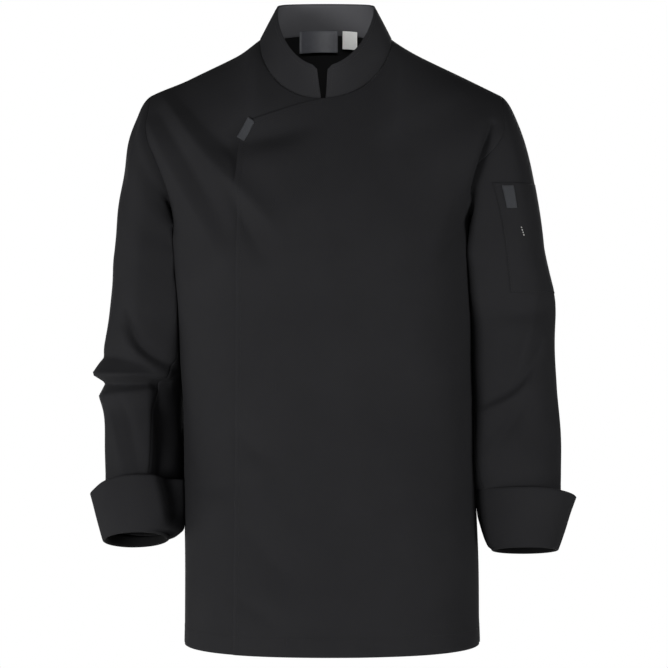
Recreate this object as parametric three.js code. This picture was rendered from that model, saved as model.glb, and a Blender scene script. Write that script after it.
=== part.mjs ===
// A man's long-sleeved chef jacket, filled out with nobody in it: asymmetric hidden front closing, stand collar,
// two-piece sleeves with turned-back cuffs, and a pen pocket on the left sleeve.
// Millimetres. +X is the wearer's left, -Y the front, +Z up. The origin lies midway between the two points
// where the shoulder seams meet the collar. Every cloth piece is its own closed wall.
import * as THREE from "three";

// Walls and seams
const wall = 1.6;
const collarWall = 1.4;
const trimWall = 0.9;
const seamGap = 0.3;
const roundness = 2.3; // exponent of the body's oval: 2 is an ellipse, more is squarer

// Heights and widths that drive the body
const hemHeight = -752;
const underarmHeight = -235;
const shoulderReach = 252; // half width of the oval that the shoulders would close to
const neckHalfWidth = 81;
const frontNeckDrop = -82;
const backNeckRise = 16;
const centreFrontShift = -3;
const shoulderLine = { rise: 37, slope: 0.49, soften: 35, neckLift: 40, neckSpread: 60, rightDrop: 3 };
const armholeScoop = { depth: 0.58, squareness: 5 };
const chestSlope = { gain: 2.75, reach: 95 }; // the chest leans back towards the collar

// The body's oval at each height: outer half width, and how far it stands out in front and behind
const bodyRings = [
  { z: -752, centre: 7.5, halfWidth: 183.5, front: 139, back: 121 },
  { z: -656, centre: 7.3, halfWidth: 183.0, front: 137, back: 116 },
  { z: -575, centre: 5.3, halfWidth: 182.0, front: 135, back: 110 },
  { z: -450, centre: 2.5, halfWidth: 180.8, front: 133, back: 103 },
  { z: -350, centre: -2.7, halfWidth: 184.8, front: 136, back: 107 },
  { z: -287, centre: -6.0, halfWidth: 188.0, front: 139.5, back: 116.5 },
  { z: -235, centre: -8.0, halfWidth: 190.5, front: 140, back: 118 },
];

// The left front crosses over the right one and stands on it
const closing = { hemX: -110, topX: -105, cornerHeight: -146, cornerX: -85, cornerTop: -107, slantBow: 3 };
const overlap = { lift: 3.4, lower: 1.2, fullBelow: 34, noneAbove: 74 };
const underEdge = { x: 28, top: -165 };

// Sleeves: the middle of each section, its outer half width and half depth, how square its inner front is
// (2 is an ellipse), how much further it reaches towards the body, and where its front seam runs, in degrees round it
const sleeveStart = -265;
const arms = {
  right: {
    side: -1, backSeam: { top: 248, cuff: 262 },
    rings: [
      { z: -265, x: 226.0, y: 12, across: 38.5, deep: 67, square: 3.6, inward: 0, seam: 150 },
      { z: -325, x: 229.5, y: 18, across: 41.0, deep: 66, square: 3.6, inward: 0, seam: 150 },
      { z: -370, x: 230.5, y: 22, across: 46.5, deep: 64, square: 3.4, inward: 0, seam: 146 },
      { z: -420, x: 231.0, y: 24, across: 51.5, deep: 61, square: 2.6, inward: 0, seam: 124 },
      { z: -466, x: 229.0, y: 16, across: 50.2, deep: 58, square: 2, inward: 0, seam: 107 },
      { z: -502, x: 227.5, y: 5, across: 48.6, deep: 56, square: 2, inward: 3, seam: 104 },
      { z: -540, x: 228.5, y: -7, across: 46.5, deep: 52, square: 2, inward: 6, seam: 104 },
      { z: -570, x: 231.0, y: -17, across: 43.5, deep: 47, square: 2, inward: 3, seam: 104 },
      { z: -608, x: 233.5, y: -30, across: 37.9, deep: 40.6, square: 2, inward: 0, seam: 104 },
    ],
    cuff: {
      z: -621, x: 234, y: -34.5, tilt: 18, tall: 75, turn: 12, hem: [41.8, 44.5], edge: [56.5, 60], edgeShift: 1.5,
      droop: 19, outerDrop: 3, inward: 27,
    },
  },
  left: {
    side: 1, backSeam: { top: 248, cuff: 262 },
    rings: [
      { z: -265, x: 229.5, y: 8, across: 43.8, deep: 68, square: 3.6, inward: 0, seam: 152 },
      { z: -301, x: 234.2, y: 11, across: 46.6, deep: 67, square: 3.6, inward: 0, seam: 152 },
      { z: -329, x: 236.8, y: 13, across: 49.2, deep: 66, square: 3.6, inward: 0, seam: 151 },
      { z: -362, x: 237.3, y: 14, across: 49.8, deep: 65, square: 3.6, inward: 0, seam: 150 },
      { z: -406, x: 238.3, y: 13, across: 50.2, deep: 63, square: 3.6, inward: 0, seam: 148 },
      { z: -466, x: 239.8, y: 6, across: 51.8, deep: 60, square: 3.4, inward: 1, seam: 145 },
      { z: -545, x: 242.5, y: -8, across: 51.5, deep: 54, square: 2.8, inward: 5, seam: 141 },
      { z: -580, x: 245.0, y: -15, across: 46.5, deep: 48, square: 2.2, inward: 2, seam: 140 },
      { z: -621, x: 247.0, y: -24, across: 37.6, deep: 40.6, square: 2, inward: 0, seam: 140 },
    ],
    cuff: {
      z: -635, x: 246.5, y: -27, tilt: 11, tall: 73, turn: 12, hem: [42, 44.5], edge: [60, 61], edgeShift: 4,
      droop: 8, outerDrop: 0, inward: 4,
    },
  },
};
const tuck = { reach: 16, clear: 60 }; // the sleeve wraps a little behind the body, down to near the cuff
const elbow = { at: 0.42, closer: 0.5 }; // the rows stand closer together round the elbow
const cuffRoll = 2;
const cuffSeamGap = 1.2;
const bodyClearance = 0.7; // between a sleeve and the body that it lies against

// Collar
const collarTop = { halfWidth: 60, middleY: 3, frontY: -88, backY: 36, sideZ: 38, frontZ: -43, backZ: 49.5 };
const collarGap = { base: 2.3, top: 6.6 }; // degrees each side of the centre front
const collarStart = 1.9;
const collarBulge = 0.5;

// Trims
const patchSlack = 0.25;
const pocket = { top: -182, bottom: -317, from: 97, to: -12 };
const sleeveTape = { top: -184, bottom: -213, from: 94, to: 79 };
const frontTape = { fromX: -89.5, fromZ: -109, toX: -103.5, toZ: -132, wide: 9 };
const backLabel = { left: -33.5, right: 14.5, tall: 27 };
const sizeLabel = { left: 21, right: 39.5, tall: 22 };

// Folds on the body, seen from the front or the back: a soft ridge (or trough, when its height is negative)
const bodyFolds = [
  { on: "front", x1: -200, z1: -112, x2: -112, z2: -192, width: 15, height: 6.5 },
  { on: "front", x1: -186, z1: -100, x2: -112, z2: -162, width: 15, height: -4.5 },
  { on: "front", x1: -199, z1: -150, x2: -140, z2: -262, width: 14, height: 4.5 },
  { on: "front", x1: -196, z1: -128, x2: -124, z2: -255, width: 11, height: -4.5 },
  { on: "front", x1: -104, z1: -205, x2: -74, z2: -262, width: 12, height: -2.2 },
  { on: "front", x1: -92, z1: -192, x2: -56, z2: -240, width: 14, height: 1.8 },
  { on: "front", x1: 198, z1: -88, x2: 62, z2: -165, width: 24, height: -3.5 },
  { on: "front", x1: 188, z1: -205, x2: 150, z2: -262, width: 12, height: -4.0 },
  { on: "front", x1: 178, z1: -176, x2: 120, z2: -262, width: 20, height: 3.0 },
  { on: "front", x1: -102, z1: -500, x2: -62, z2: -530, width: 15, height: -2.0 },
  { on: "front", x1: -152, z1: -572, x2: -88, z2: -556, width: 16, height: -2.0 },
  { on: "front", x1: -92, z1: -598, x2: -36, z2: -672, width: 18, height: -2.6 },
  { on: "front", x1: -104, z1: -682, x2: -58, z2: -716, width: 16, height: -2.6 },
  { on: "front", x1: 90, z1: -470, x2: 128, z2: -740, width: 34, height: 3.0 },
  { on: "front", x1: 20, z1: -520, x2: 36, z2: -750, width: 34, height: -2.4 },
  { on: "back", x1: -176, z1: -150, x2: -70, z2: -205, width: 20, height: -4.5 },
  { on: "back", x1: 176, z1: -150, x2: 70, z2: -205, width: 20, height: -4.5 },
  { on: "back", x1: -165, z1: -215, x2: -100, z2: -330, width: 20, height: 4.5 },
  { on: "back", x1: 165, z1: -215, x2: 100, z2: -330, width: 20, height: 4.5 },
  { on: "back", x1: -60, z1: -300, x2: -84, z2: -745, width: 30, height: 4.5 },
  { on: "back", x1: 64, z1: -320, x2: 92, z2: -745, width: 30, height: 4.5 },
  { on: "back", x1: 0, z1: -330, x2: 6, z2: -748, width: 34, height: -4.0 },
  { on: "back", x1: -128, z1: -470, x2: -142, z2: -745, width: 24, height: -3.5 },
  { on: "back", x1: 132, z1: -470, x2: 144, z2: -745, width: 24, height: -3.5 },
];

// Folds on the sleeves: round is the place round the arm in degrees (0 outside, 90 front, 180 against the body)
const sleeveFolds = [
  { arm: "right", round1: -40, z1: -425, round2: 118, z2: -421, width: 10, height: 6.5 },
  { arm: "right", round1: -30, z1: -401, round2: 90, z2: -403, width: 9, height: -4.5 },
  { arm: "right", round1: 10, z1: -443, round2: 100, z2: -438, width: 9, height: -4.0 },
  { arm: "right", round1: 60, z1: -352, round2: 128, z2: -414, width: 9, height: -5.0 },
  { arm: "right", round1: 96, z1: -398, round2: 140, z2: -426, width: 8, height: 3.0 },
  { arm: "right", round1: 84, z1: -450, round2: 100, z2: -560, width: 11, height: -3.5 },
  { arm: "right", round1: 48, z1: -470, round2: 66, z2: -530, width: 13, height: -2.5 },
  { arm: "right", round1: 250, z1: -300, round2: 320, z2: -420, width: 13, height: 3.5 },
  { arm: "right", round1: 235, z1: -430, round2: 320, z2: -440, width: 10, height: 4.5 },
  { arm: "right", round1: 240, z1: -455, round2: 315, z2: -462, width: 10, height: -4.0 },
  { arm: "left", round1: 30, z1: -390, round2: 104, z2: -452, width: 10, height: -4.5 },
  { arm: "left", round1: 28, z1: -330, round2: 70, z2: -420, width: 14, height: 3.0 },
  { arm: "left", round1: 58, z1: -456, round2: 96, z2: -520, width: 11, height: -3.5 },
  { arm: "left", round1: 118, z1: -330, round2: 150, z2: -420, width: 12, height: -2.5 },
  { arm: "left", round1: 240, z1: -400, round2: 325, z2: -425, width: 13, height: 4.5 },
  { arm: "left", round1: 235, z1: -440, round2: 320, z2: -452, width: 12, height: -4.0 },
  { arm: "left", round1: 245, z1: -290, round2: 300, z2: -350, width: 15, height: -3.5 },
];

// How finely each piece is divided
const steps = {
  bodyLow: 13, armhole: 19, closingSide: 5, closingCorner: 3, closingTop: 4, neckline: 7,
  leftFront: 18, rightFront: 13, shoulder: 5, cap: 9, sleeveLow: 21, sleeveTop: 12, sleeveUnder: 7,
  collarTall: 3, cuffRound: 22, cuffTall: 4, cuffTurn: 3,
};

const degrees = THREE.MathUtils.degToRad;
const clamp = THREE.MathUtils.clamp;
const mix = THREE.MathUtils.lerp;
const ease = (x) => THREE.MathUtils.smoothstep(x, 0, 1);
const power = (x, p) => Math.sign(x) * Math.abs(x) ** p;

// A smooth value from a table's column at the height z; the rows run in order of z.
function column(rows, z, name) {
  const up = rows[0].z < rows[rows.length - 1].z ? 1 : -1;
  let i = 0;
  while (i < rows.length - 2 && up * z > up * rows[i + 1].z) i += 1;
  const [a, b] = [rows[i], rows[i + 1]];
  const before = rows[Math.max(i - 1, 0)];
  const after = rows[Math.min(i + 2, rows.length - 1)];
  const t = clamp((z - a.z) / (b.z - a.z), 0, 1);
  const span = b.z - a.z;
  const slopeA = ((b[name] - before[name]) / (b.z - before.z)) * span;
  const slopeB = ((after[name] - a[name]) / (after.z - a.z)) * span;
  const [t2, t3] = [t * t, t * t * t];
  return (2 * t3 - 3 * t2 + 1) * a[name] + (t3 - 2 * t2 + t) * slopeA
    + (3 * t2 - 2 * t3) * b[name] + (t3 - t2) * slopeB;
}

// Where the shoulder seam runs, by its distance from the middle
function shoulderHeight(x) {
  const { rise, slope, soften, neckLift, neckSpread, rightDrop } = shoulderLine;
  const dropped = rightDrop * ease((-x - neckHalfWidth) / 30) * (1 - ease((-x - 170) / 45));
  return rise - slope * Math.hypot(x, soften) + neckLift * Math.exp(-((x / neckSpread) ** 2)) - dropped;
}

// The body's oval at level w: -1 is the hem, 0 the underarm and 1 the shoulder seam
function oval(side, w) {
  const z = w <= 0 ? underarmHeight + w * (underarmHeight - hemHeight) : underarmHeight;
  const widening = w > 0 ? ease(w / 0.55) : 0;
  const centre = column(bodyRings, z, "centre") * (w > 0 ? 1 - ease(w / 0.5) : 1);
  const atRing = column(bodyRings, z, "halfWidth") - wall / 2;
  const depth = column(bodyRings, z, side < 0 ? "front" : "back") - wall / 2;
  return { z, centre, depth, halfWidth: mix(atRing, shoulderReach, widening) };
}

// A point of the body's cloth: side -1 front or 1 back, angle from the middle (0) to the side seam (90 degrees)
function bodyPoint(side, angle, w) {
  const ring = oval(side, w);
  const x = ring.centre + ring.halfWidth * power(Math.sin(angle), 2 / roundness);
  const y = side * ring.depth * Math.max(Math.cos(angle), 0) ** (2 / roundness);
  if (w <= 0) return new THREE.Vector3(x, y, ring.z);
  const g = Math.sin((Math.PI / 2) * Math.min(w, 1));
  const z = underarmHeight + (shoulderHeight(x) - underarmHeight) * g;
  const lean = side < 0 ? chestSlope.gain * Math.max(0, 1 - (x / chestSlope.reach) ** 2) ** 2 : 0;
  return new THREE.Vector3(x, y * Math.sqrt(Math.max(0, 1 - g * g)) * (1 - 0.98 * g ** 3) ** lean, z);
}

// The place (angle, level) on the body's cloth that is seen at x, z from the front or the back
function locate(side, x, z) {
  const level = z <= underarmHeight
    ? (z - underarmHeight) / (underarmHeight - hemHeight)
    : (2 / Math.PI) * Math.asin(clamp((z - underarmHeight) / (shoulderHeight(x) - underarmHeight), 0, 1));
  const ring = oval(side, level);
  const share = clamp((x - ring.centre) / ring.halfWidth, -1, 1);
  return [Math.asin(power(share, roundness / 2)), level];
}

// How far along and away from a fold's line a point is, as the fold's height there
function foldHeight(u, v, u1, v1, u2, v2, width, height) {
  const length = Math.hypot(u2 - u1, v2 - v1);
  const along = ((u - u1) * (u2 - u1) + (v - v1) * (v2 - v1)) / length;
  const off = ((u - u1) * (v2 - v1) - (v - v1) * (u2 - u1)) / length;
  const t = clamp(along / length, 0, 1);
  const past = along - clamp(along, 0, length);
  const taper = Math.sin(Math.PI * clamp(0.12 + 0.76 * t, 0, 1));
  return height * taper * Math.exp(-(off * off + past * past) / (width * width));
}

function bodyFold(side, point, angle, w) {
  const where = side < 0 ? "front" : "back";
  let sum = 0;
  for (const f of bodyFolds) {
    if (f.on === where) sum += foldHeight(point.x, point.z, f.x1, f.z1, f.x2, f.z2, f.width, f.height);
  }
  const offSide = ease(Math.max(Math.cos(angle), 0) / 0.35);
  const offShoulder = 1 - ease((w - 0.8) / 0.2);
  return sum * offSide * offShoulder;
}

// The outward direction of a surface point(u, v), from points close by
function outward(point, u, v, limits) {
  const e = 0.01;
  const [lowU, highU, lowV, highV] = limits;
  const acrossU = point(Math.min(u + e, highU), v).sub(point(Math.max(u - e, lowU), v));
  const acrossV = point(u, Math.min(v + e, highV)).sub(point(u, Math.max(v - e, lowV)));
  return acrossU.cross(acrossV).normalize();
}

const bodyLimits = [-Math.PI / 2, Math.PI / 2, -1, 1];

function bodyNormal(side, angle, w) {
  return outward((a, b) => bodyPoint(side, a, b), angle, w, bodyLimits).multiplyScalar(-side);
}

// The middle of the body's cloth with its folds, raised by lift
function bodyCloth(side, angle, w, lift = 0) {
  const point = bodyPoint(side, angle, w);
  const normal = bodyNormal(side, angle, w);
  point.addScaledVector(normal, bodyFold(side, point, angle, w) + lift);
  return { point, normal };
}

// The armhole: its angle on the body at level w
function armholeAngle(w) {
  const scoop = armholeScoop.depth * Math.sqrt(1 - (1 - clamp(w, 0, 1)) ** armholeScoop.squareness);
  return Math.acos(scoop ** (roundness / 2));
}

// Levels that divide half an armhole, from the underarm to the shoulder, into equal lengths
function evenLevels(side, arm, count) {
  const fine = 240;
  const lengths = [0];
  let last = bodyPoint(side, arm * armholeAngle(0), 0);
  for (let i = 1; i <= fine; i += 1) {
    const next = bodyPoint(side, arm * armholeAngle(i / fine), i / fine);
    lengths.push(lengths[i - 1] + next.distanceTo(last));
    last = next;
  }
  const levels = [];
  for (let k = 0, i = 0; k <= count; k += 1) {
    const target = (lengths[fine] * k) / count;
    while (i < fine - 1 && lengths[i + 1] < target) i += 1;
    levels.push((i + clamp((target - lengths[i]) / (lengths[i + 1] - lengths[i]), 0, 1)) / fine);
  }
  return levels;
}

// The neckline, round degrees from the centre front (0) or centre back (0) to the shoulder (90)
function necklinePlace(side, turn, lower = 0) {
  const [s, c] = [Math.sin(turn), Math.cos(turn)];
  const x = neckHalfWidth * s + (side < 0 ? centreFrontShift * c : 0);
  const atShoulder = shoulderHeight(neckHalfWidth);
  const z = mix(atShoulder, side < 0 ? frontNeckDrop - lower : backNeckRise, side < 0 ? Math.abs(c) : c * c);
  return Math.abs(c) < 1e-6 ? locate(side, x, shoulderHeight(x)) : locate(side, x, z);
}

// A closed wall through rows of { point, normal }: a skin on each side, and a strip along each open edge
function cloth(rows, { thick = wall, round = false } = {}) {
  const [tall, wide] = [rows.length, rows[0].length];
  const corners = [];
  for (const half of [thick / 2, -thick / 2]) {
    for (const row of rows) {
      for (const { point, normal } of row) corners.push(point.clone().addScaledVector(normal, half));
    }
  }
  const at = (skin, i, j) => skin * tall * wide + i * wide + (j % wide);
  const faces = [];
  const quad = (a, b, c, d) => {
    const short = corners[a].distanceTo(corners[c]) <= corners[b].distanceTo(corners[d]);
    faces.push(...(short ? [a, b, c, a, c, d] : [a, b, d, b, c, d]));
  };
  const last = round ? wide : wide - 1;
  for (let i = 0; i < tall - 1; i += 1) {
    for (let j = 0; j < last; j += 1) {
      quad(at(0, i, j), at(0, i, j + 1), at(0, i + 1, j + 1), at(0, i + 1, j));
      quad(at(1, i, j), at(1, i + 1, j), at(1, i + 1, j + 1), at(1, i, j + 1));
    }
  }
  for (let j = 0; j < last; j += 1) {
    quad(at(0, 0, j), at(1, 0, j), at(1, 0, j + 1), at(0, 0, j + 1));
    quad(at(0, tall - 1, j), at(0, tall - 1, j + 1), at(1, tall - 1, j + 1), at(1, tall - 1, j));
  }
  for (let i = 0; i < tall - 1 && !round; i += 1) {
    quad(at(0, i, 0), at(0, i + 1, 0), at(1, i + 1, 0), at(1, i, 0));
    quad(at(0, i, wide - 1), at(1, i, wide - 1), at(1, i + 1, wide - 1), at(0, i + 1, wide - 1));
  }
  const geometry = new THREE.BufferGeometry();
  geometry.setAttribute("position", new THREE.Float32BufferAttribute(corners.flatMap((p) => p.toArray()), 3));
  // The faces must point out: the first skin's side is the normals' side
  const [p, q, r] = [0, 1, 2].map((k) => corners[faces[k]]);
  const facing = q.clone().sub(p).cross(r.clone().sub(p)).dot(rows[0][0].normal) > 0;
  geometry.setIndex(facing ? faces : faces.slice().reverse());
  geometry.computeVertexNormals();
  return geometry;
}

// Draws the edge of a piece back from its seam, towards the next row or column
function drawBack(edge, inner, amount) {
  edge.forEach((spot, k) => {
    const way = inner[k].point.clone().sub(spot.point).normalize();
    spot.point.addScaledVector(way, typeof amount === "function" ? amount(k) : amount);
  });
}

const black = 0x232326;
const blackCloth = { color: black, roughness: 0.86, metalness: 0 };
const jacket = new THREE.Group();

function addPiece(name, geometry, finish = blackCloth) {
  const piece = new THREE.Mesh(geometry, new THREE.MeshStandardMaterial(finish));
  piece.name = name;
  jacket.add(piece);
}

// A body panel between two edges, each a list of [angle, level] from the hem up; top is the row of the last ends.
// On the fronts the rows run straight as seen from in front, and follow the shoulder seam more towards the top.
function bodyPanel(side, inner, outer, columns, liftAt, top) {
  return inner.map((start, i) => {
    const end = outer[i];
    const f = clamp((i - steps.bodyLow) / (inner.length - 1 - steps.bodyLow), 0, 1);
    return Array.from({ length: columns + 1 }, (_, j) => {
      const t = j / columns;
      let angle = mix(start[0], end[0], t);
      let level = mix(start[1], end[1], t);
      if (top) {
        const first = inner[inner.length - 1];
        const last = outer[outer.length - 1];
        angle += f * (top(t)[0] - mix(first[0], last[0], t));
        level += f * (top(t)[1] - mix(first[1], last[1], t));
      } else {
        const height = mix(bodyPoint(side, ...start).z, bodyPoint(side, ...end).z, t);
        const straight = locate(side, bodyPoint(side, angle, level).x, height)[1];
        level = mix(level, straight, 1 - ease((i - neckRow) / (inner.length - 1 - neckRow)));
      }
      const flat = bodyPoint(side, angle, level);
      return bodyCloth(side, angle, level, liftAt(flat.x, level));
    });
  });
}

// The row where a front's edge turns into the neckline
const neckRow = steps.bodyLow + steps.closingSide + steps.closingCorner + steps.closingTop;

const lowLevels = Array.from({ length: steps.bodyLow }, (_, i) => -1 + i / steps.bodyLow);
const levelHeight = (w) => underarmHeight + w * (underarmHeight - hemHeight);

// The side seam and the armhole, from the hem to the shoulder tip
function outerEdge(side, arm) {
  const count = steps.armhole;
  const low = lowLevels.map((w) => [(arm * Math.PI) / 2, w]);
  const high = evenLevels(side, arm, count).map((w) => [arm * armholeAngle(w), w]);
  return [...low, ...high];
}

function alongNeckline(side, arm, count, lower = 0) {
  return Array.from({ length: count }, (_, k) => (
    necklinePlace(side, (arm * (k + 1) * Math.PI) / (2 * count), lower)));
}

// The left front's free edge: up the closing line, round its corner, along the slant to the centre front, then along
// the neckline
function leftFrontEdge() {
  const { hemX, topX, cornerHeight, cornerX, cornerTop, slantBow } = closing;
  const lineX = (z) => mix(hemX, topX, (z - hemHeight) / (cornerHeight - hemHeight));
  const low = lowLevels.map((w) => locate(-1, lineX(levelHeight(w)), levelHeight(w)));
  const side = Array.from({ length: steps.closingSide }, (_, k) => {
    const z = mix(underarmHeight, cornerHeight, k / steps.closingSide);
    return locate(-1, lineX(z), z);
  });
  const corner = Array.from({ length: steps.closingCorner }, (_, k) => {
    const t = k / steps.closingCorner;
    const x = (1 - t) ** 2 * topX + 2 * t * (1 - t) * (topX + 1) + t * t * cornerX;
    const z = (1 - t) ** 2 * cornerHeight + 2 * t * (1 - t) * (cornerTop - 9) + t * t * cornerTop;
    return locate(-1, x, z);
  });
  const slant = Array.from({ length: steps.closingTop + 1 }, (_, k) => {
    const t = k / steps.closingTop;
    const z = mix(cornerTop, frontNeckDrop - overlap.lower, t) + slantBow * Math.sin(Math.PI * t);
    return locate(-1, mix(cornerX, centreFrontShift, t), z);
  });
  return [...low, ...side, ...corner, ...slant, ...alongNeckline(-1, 1, steps.neckline, overlap.lower)];
}

// The right front's edge, hidden under the left one
function rightFrontEdge() {
  const low = lowLevels.map((w) => locate(-1, underEdge.x, levelHeight(w)));
  const side = Array.from({ length: steps.closingSide }, (_, k) => (
    locate(-1, underEdge.x, mix(underarmHeight, underEdge.top, k / steps.closingSide))));
  const count = steps.closingCorner + steps.closingTop;
  const slant = Array.from({ length: count + 1 }, (_, k) => (
    locate(-1, mix(underEdge.x, centreFrontShift, k / count), mix(underEdge.top, frontNeckDrop, k / count))));
  return [...low, ...side, ...slant, ...alongNeckline(-1, -1, steps.neckline)];
}

const armholeStart = steps.bodyLow;
const armholeGap = (count) => (i) => {
  const share = clamp((i - armholeStart) / count, 0, 1);
  return i < armholeStart ? seamGap / 2 + 0.05 : seamGap / 2 + 0.1 + 1.1 * wall * (1 - share) ** 0.35;
};

const columnOf = (rows, j) => rows.map((row) => row[(j + row.length) % row.length]);

// The left front: from the closing line, across the centre, to the wearer's left side seam
function leftFront() {
  const liftAt = (x, w) => {
    const over = 1 - ease((x - overlap.fullBelow) / (overlap.noneAbove - overlap.fullBelow));
    return overlap.lift * over * (1 - ease((w - 0.33) / 0.5));
  };
  const rows = bodyPanel(-1, leftFrontEdge(), outerEdge(-1, 1), steps.leftFront, liftAt);
  drawBack(columnOf(rows, -1), columnOf(rows, -2), armholeGap(steps.armhole));
  drawBack(columnOf(rows, 0), columnOf(rows, 1), (i) => (i > neckRow ? 0.8 : 0));
  drawBack(rows[rows.length - 1], rows[rows.length - 2], 0.2);
  return rows;
}

function rightFront() {
  const edge = rightFrontEdge();
  const rows = bodyPanel(-1, edge, outerEdge(-1, -1), steps.rightFront, () => 0);
  drawBack(columnOf(rows, -1), columnOf(rows, -2), armholeGap(steps.armhole));
  drawBack(columnOf(rows, 0), columnOf(rows, 1), (i) => (i > neckRow ? 0.8 : 0));
  drawBack(rows[rows.length - 1], rows[rows.length - 2], 0.2);
  return rows;
}

// The back, in one piece; its top runs along both shoulder seams and the back neckline
function backPanel() {
  const [first, last] = [outerEdge(1, -1), outerEdge(1, 1)];
  const tip = first[first.length - 1];
  const neck = locate(1, neckHalfWidth, shoulderHeight(neckHalfWidth));
  const columns = 2 * (steps.shoulder + steps.neckline);
  const seamShare = steps.shoulder / columns; // of the top row, for each shoulder seam
  const top = (t) => {
    const fromMiddle = Math.abs(2 * t - 1);
    const side = Math.sign(2 * t - 1) || 1;
    if (fromMiddle > 1 - 2 * seamShare) {
      const s = (fromMiddle - (1 - 2 * seamShare)) / (2 * seamShare);
      return [side * mix(neck[0], -tip[0], s), 1];
    }
    return necklinePlace(1, (side * (fromMiddle / (1 - 2 * seamShare)) * Math.PI) / 2);
  };
  const flare = (x, w) => (x > 0 ? 1.5 : 1.0) * ease((-w - 0.9) / 0.1) * ease((Math.abs(x) - 120) / 60);
  const rows = bodyPanel(1, first, last, columns, flare, top);
  drawBack(columnOf(rows, 0), columnOf(rows, 1), armholeGap(steps.armhole));
  drawBack(columnOf(rows, -1), columnOf(rows, -2), armholeGap(steps.armhole));
  drawBack(rows[rows.length - 1], rows[rows.length - 2], 0.6);
  return rows;
}

// Keeps a sleeve's point clear of the body's side
function clearOfBody(arm, point, margin) {
  const level = clamp((point.z - underarmHeight) / (underarmHeight - hemHeight), -1, 0);
  const ring = oval(point.y < 0 ? -1 : 1, level);
  const share = clamp(Math.abs(point.y) / ring.depth, 0, 1);
  const bodySide = arm.side * ring.centre + ring.halfWidth * (1 - share ** roundness) ** (1 / roundness);
  const least = bodySide + margin;
  const now = arm.side * point.x;
  const soft = 4;
  const over = now - least;
  const pushed = least + (over + Math.sqrt(over * over + soft)) / 2;
  const weight = ease((underarmHeight - point.z) / 5);
  return new THREE.Vector3(arm.side * mix(now, Math.max(now, pushed), weight), point.y, point.z);
}

const sleeveEnd = (arm) => arm.rings[arm.rings.length - 1].z;

const middleOf = (arm, z) => new THREE.Vector3(
  arm.side * column(arm.rings, z, "x"), column(arm.rings, z, "y"), z);

// The arm's own axes at height z: across (away from the body), forward and down the arm
function armAxes(arm, z) {
  const low = Math.max(z - 4, sleeveEnd(arm));
  const high = Math.min(z + 4, sleeveStart);
  const down = middleOf(arm, low).sub(middleOf(arm, high)).normalize();
  const across = new THREE.Vector3(arm.side, 0, 0).addScaledVector(down, -arm.side * down.x).normalize();
  const forward = new THREE.Vector3().crossVectors(across, down).multiplyScalar(arm.side).normalize();
  if (forward.y > 0) forward.negate();
  return { down, across, forward };
}

function sleeveRing(arm, round, z) {
  const { across, forward } = armAxes(arm, z);
  const [c, s] = [Math.cos(round), Math.sin(round)];
  const square = column(arm.rings, z, "square");
  const fuller = c < 0 && s > 0 ? (Math.abs(c) ** square + s ** square) ** (-1 / square) : 1;
  const behind = tuck.reach * Math.max(-c, 0) * Math.max(-s, 0) * 2 * ease((z - sleeveEnd(arm) - tuck.clear) / 60);
  const inward = column(arm.rings, z, "inward") * Math.max(-c, 0);
  return middleOf(arm, z)
    .addScaledVector(across, (column(arm.rings, z, "across") - wall / 2) * c * fuller - behind - inward)
    .addScaledVector(forward, (column(arm.rings, z, "deep") - wall / 2) * s * fuller);
}

// The armhole's point at a place round the arm: 0 the shoulder tip, 90 the front, 180 the underarm
const capLevels = Object.fromEntries(["right", "left"].map((name) => [name, {
  front: evenLevels(-1, arms[name].side, 180), back: evenLevels(1, arms[name].side, 180),
}]));

function armholePoint(name, round) {
  const turn = THREE.MathUtils.euclideanModulo(THREE.MathUtils.radToDeg(round) + 180, 360) - 180;
  const side = turn >= 0 ? -1 : 1;
  const levels = capLevels[name][side < 0 ? "front" : "back"];
  const at = clamp(180 - Math.abs(turn), 0, 180);
  const low = Math.min(Math.floor(at), 179);
  const w = mix(levels[low], levels[low + 1], at - low);
  return bodyCloth(side, arms[name].side * armholeAngle(w), w).point;
}

// A point of a sleeve: part runs 0 to 1 from the armhole to the top of the arm, and 1 to 2 down to its end
function sleevePoint(name, round, part) {
  const arm = arms[name];
  if (part >= 1) {
    const z = mix(sleeveStart, sleeveEnd(arm), part - 1);
    return clearOfBody(arm, sleeveRing(arm, round, z), wall + bodyClearance);
  }
  const from = armholePoint(name, round);
  const to = sleeveRing(arm, round, sleeveStart);
  const chord = from.distanceTo(to);
  const leave = new THREE.Vector3(arm.side, -0.16 * Math.sin(round), -0.3 * (1 + Math.cos(round)))
    .normalize().multiplyScalar(0.47 * chord + 15 * (1 - Math.cos(round)));
  const arrive = armAxes(arm, sleeveStart).down.multiplyScalar(chord);
  const [t, t2, t3] = [part, part ** 2, part ** 3];
  const point = from.multiplyScalar(2 * t3 - 3 * t2 + 1)
    .addScaledVector(leave, t3 - 2 * t2 + t)
    .addScaledVector(to, 3 * t2 - 2 * t3)
    .addScaledVector(arrive, t3 - t2);
  return clearOfBody(arm, point, wall + bodyClearance);
}

function sleeveFold(name, round, point) {
  const degreeLength = 0.95; // millimetres of sleeve to a degree round the arm
  const turn = THREE.MathUtils.radToDeg(round);
  let sum = 0;
  for (const f of sleeveFolds) {
    if (f.arm !== name) continue;
    for (const wrap of [-360, 0, 360]) {
      sum += foldHeight((turn + wrap) * degreeLength, point.z, f.round1 * degreeLength, f.z1,
        f.round2 * degreeLength, f.z2, f.width, f.height);
    }
  }
  return sum * ease((point.z - sleeveEnd(arms[name]) - 40) / 30);
}

function sleeveCloth(name, round, part, lift = 0) {
  const point = sleevePoint(name, round, part);
  const normal = outward((a, b) => sleevePoint(name, a, b), round, part, [-99, 99, 0, 2])
    .multiplyScalar(arms[name].side);
  const facingBody = ease((Math.cos(round) + 0.95) / 0.35);
  point.addScaledVector(normal, sleeveFold(name, round, point) * facingBody * ease(part / 0.2) + lift);
  return { point, normal };
}

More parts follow.
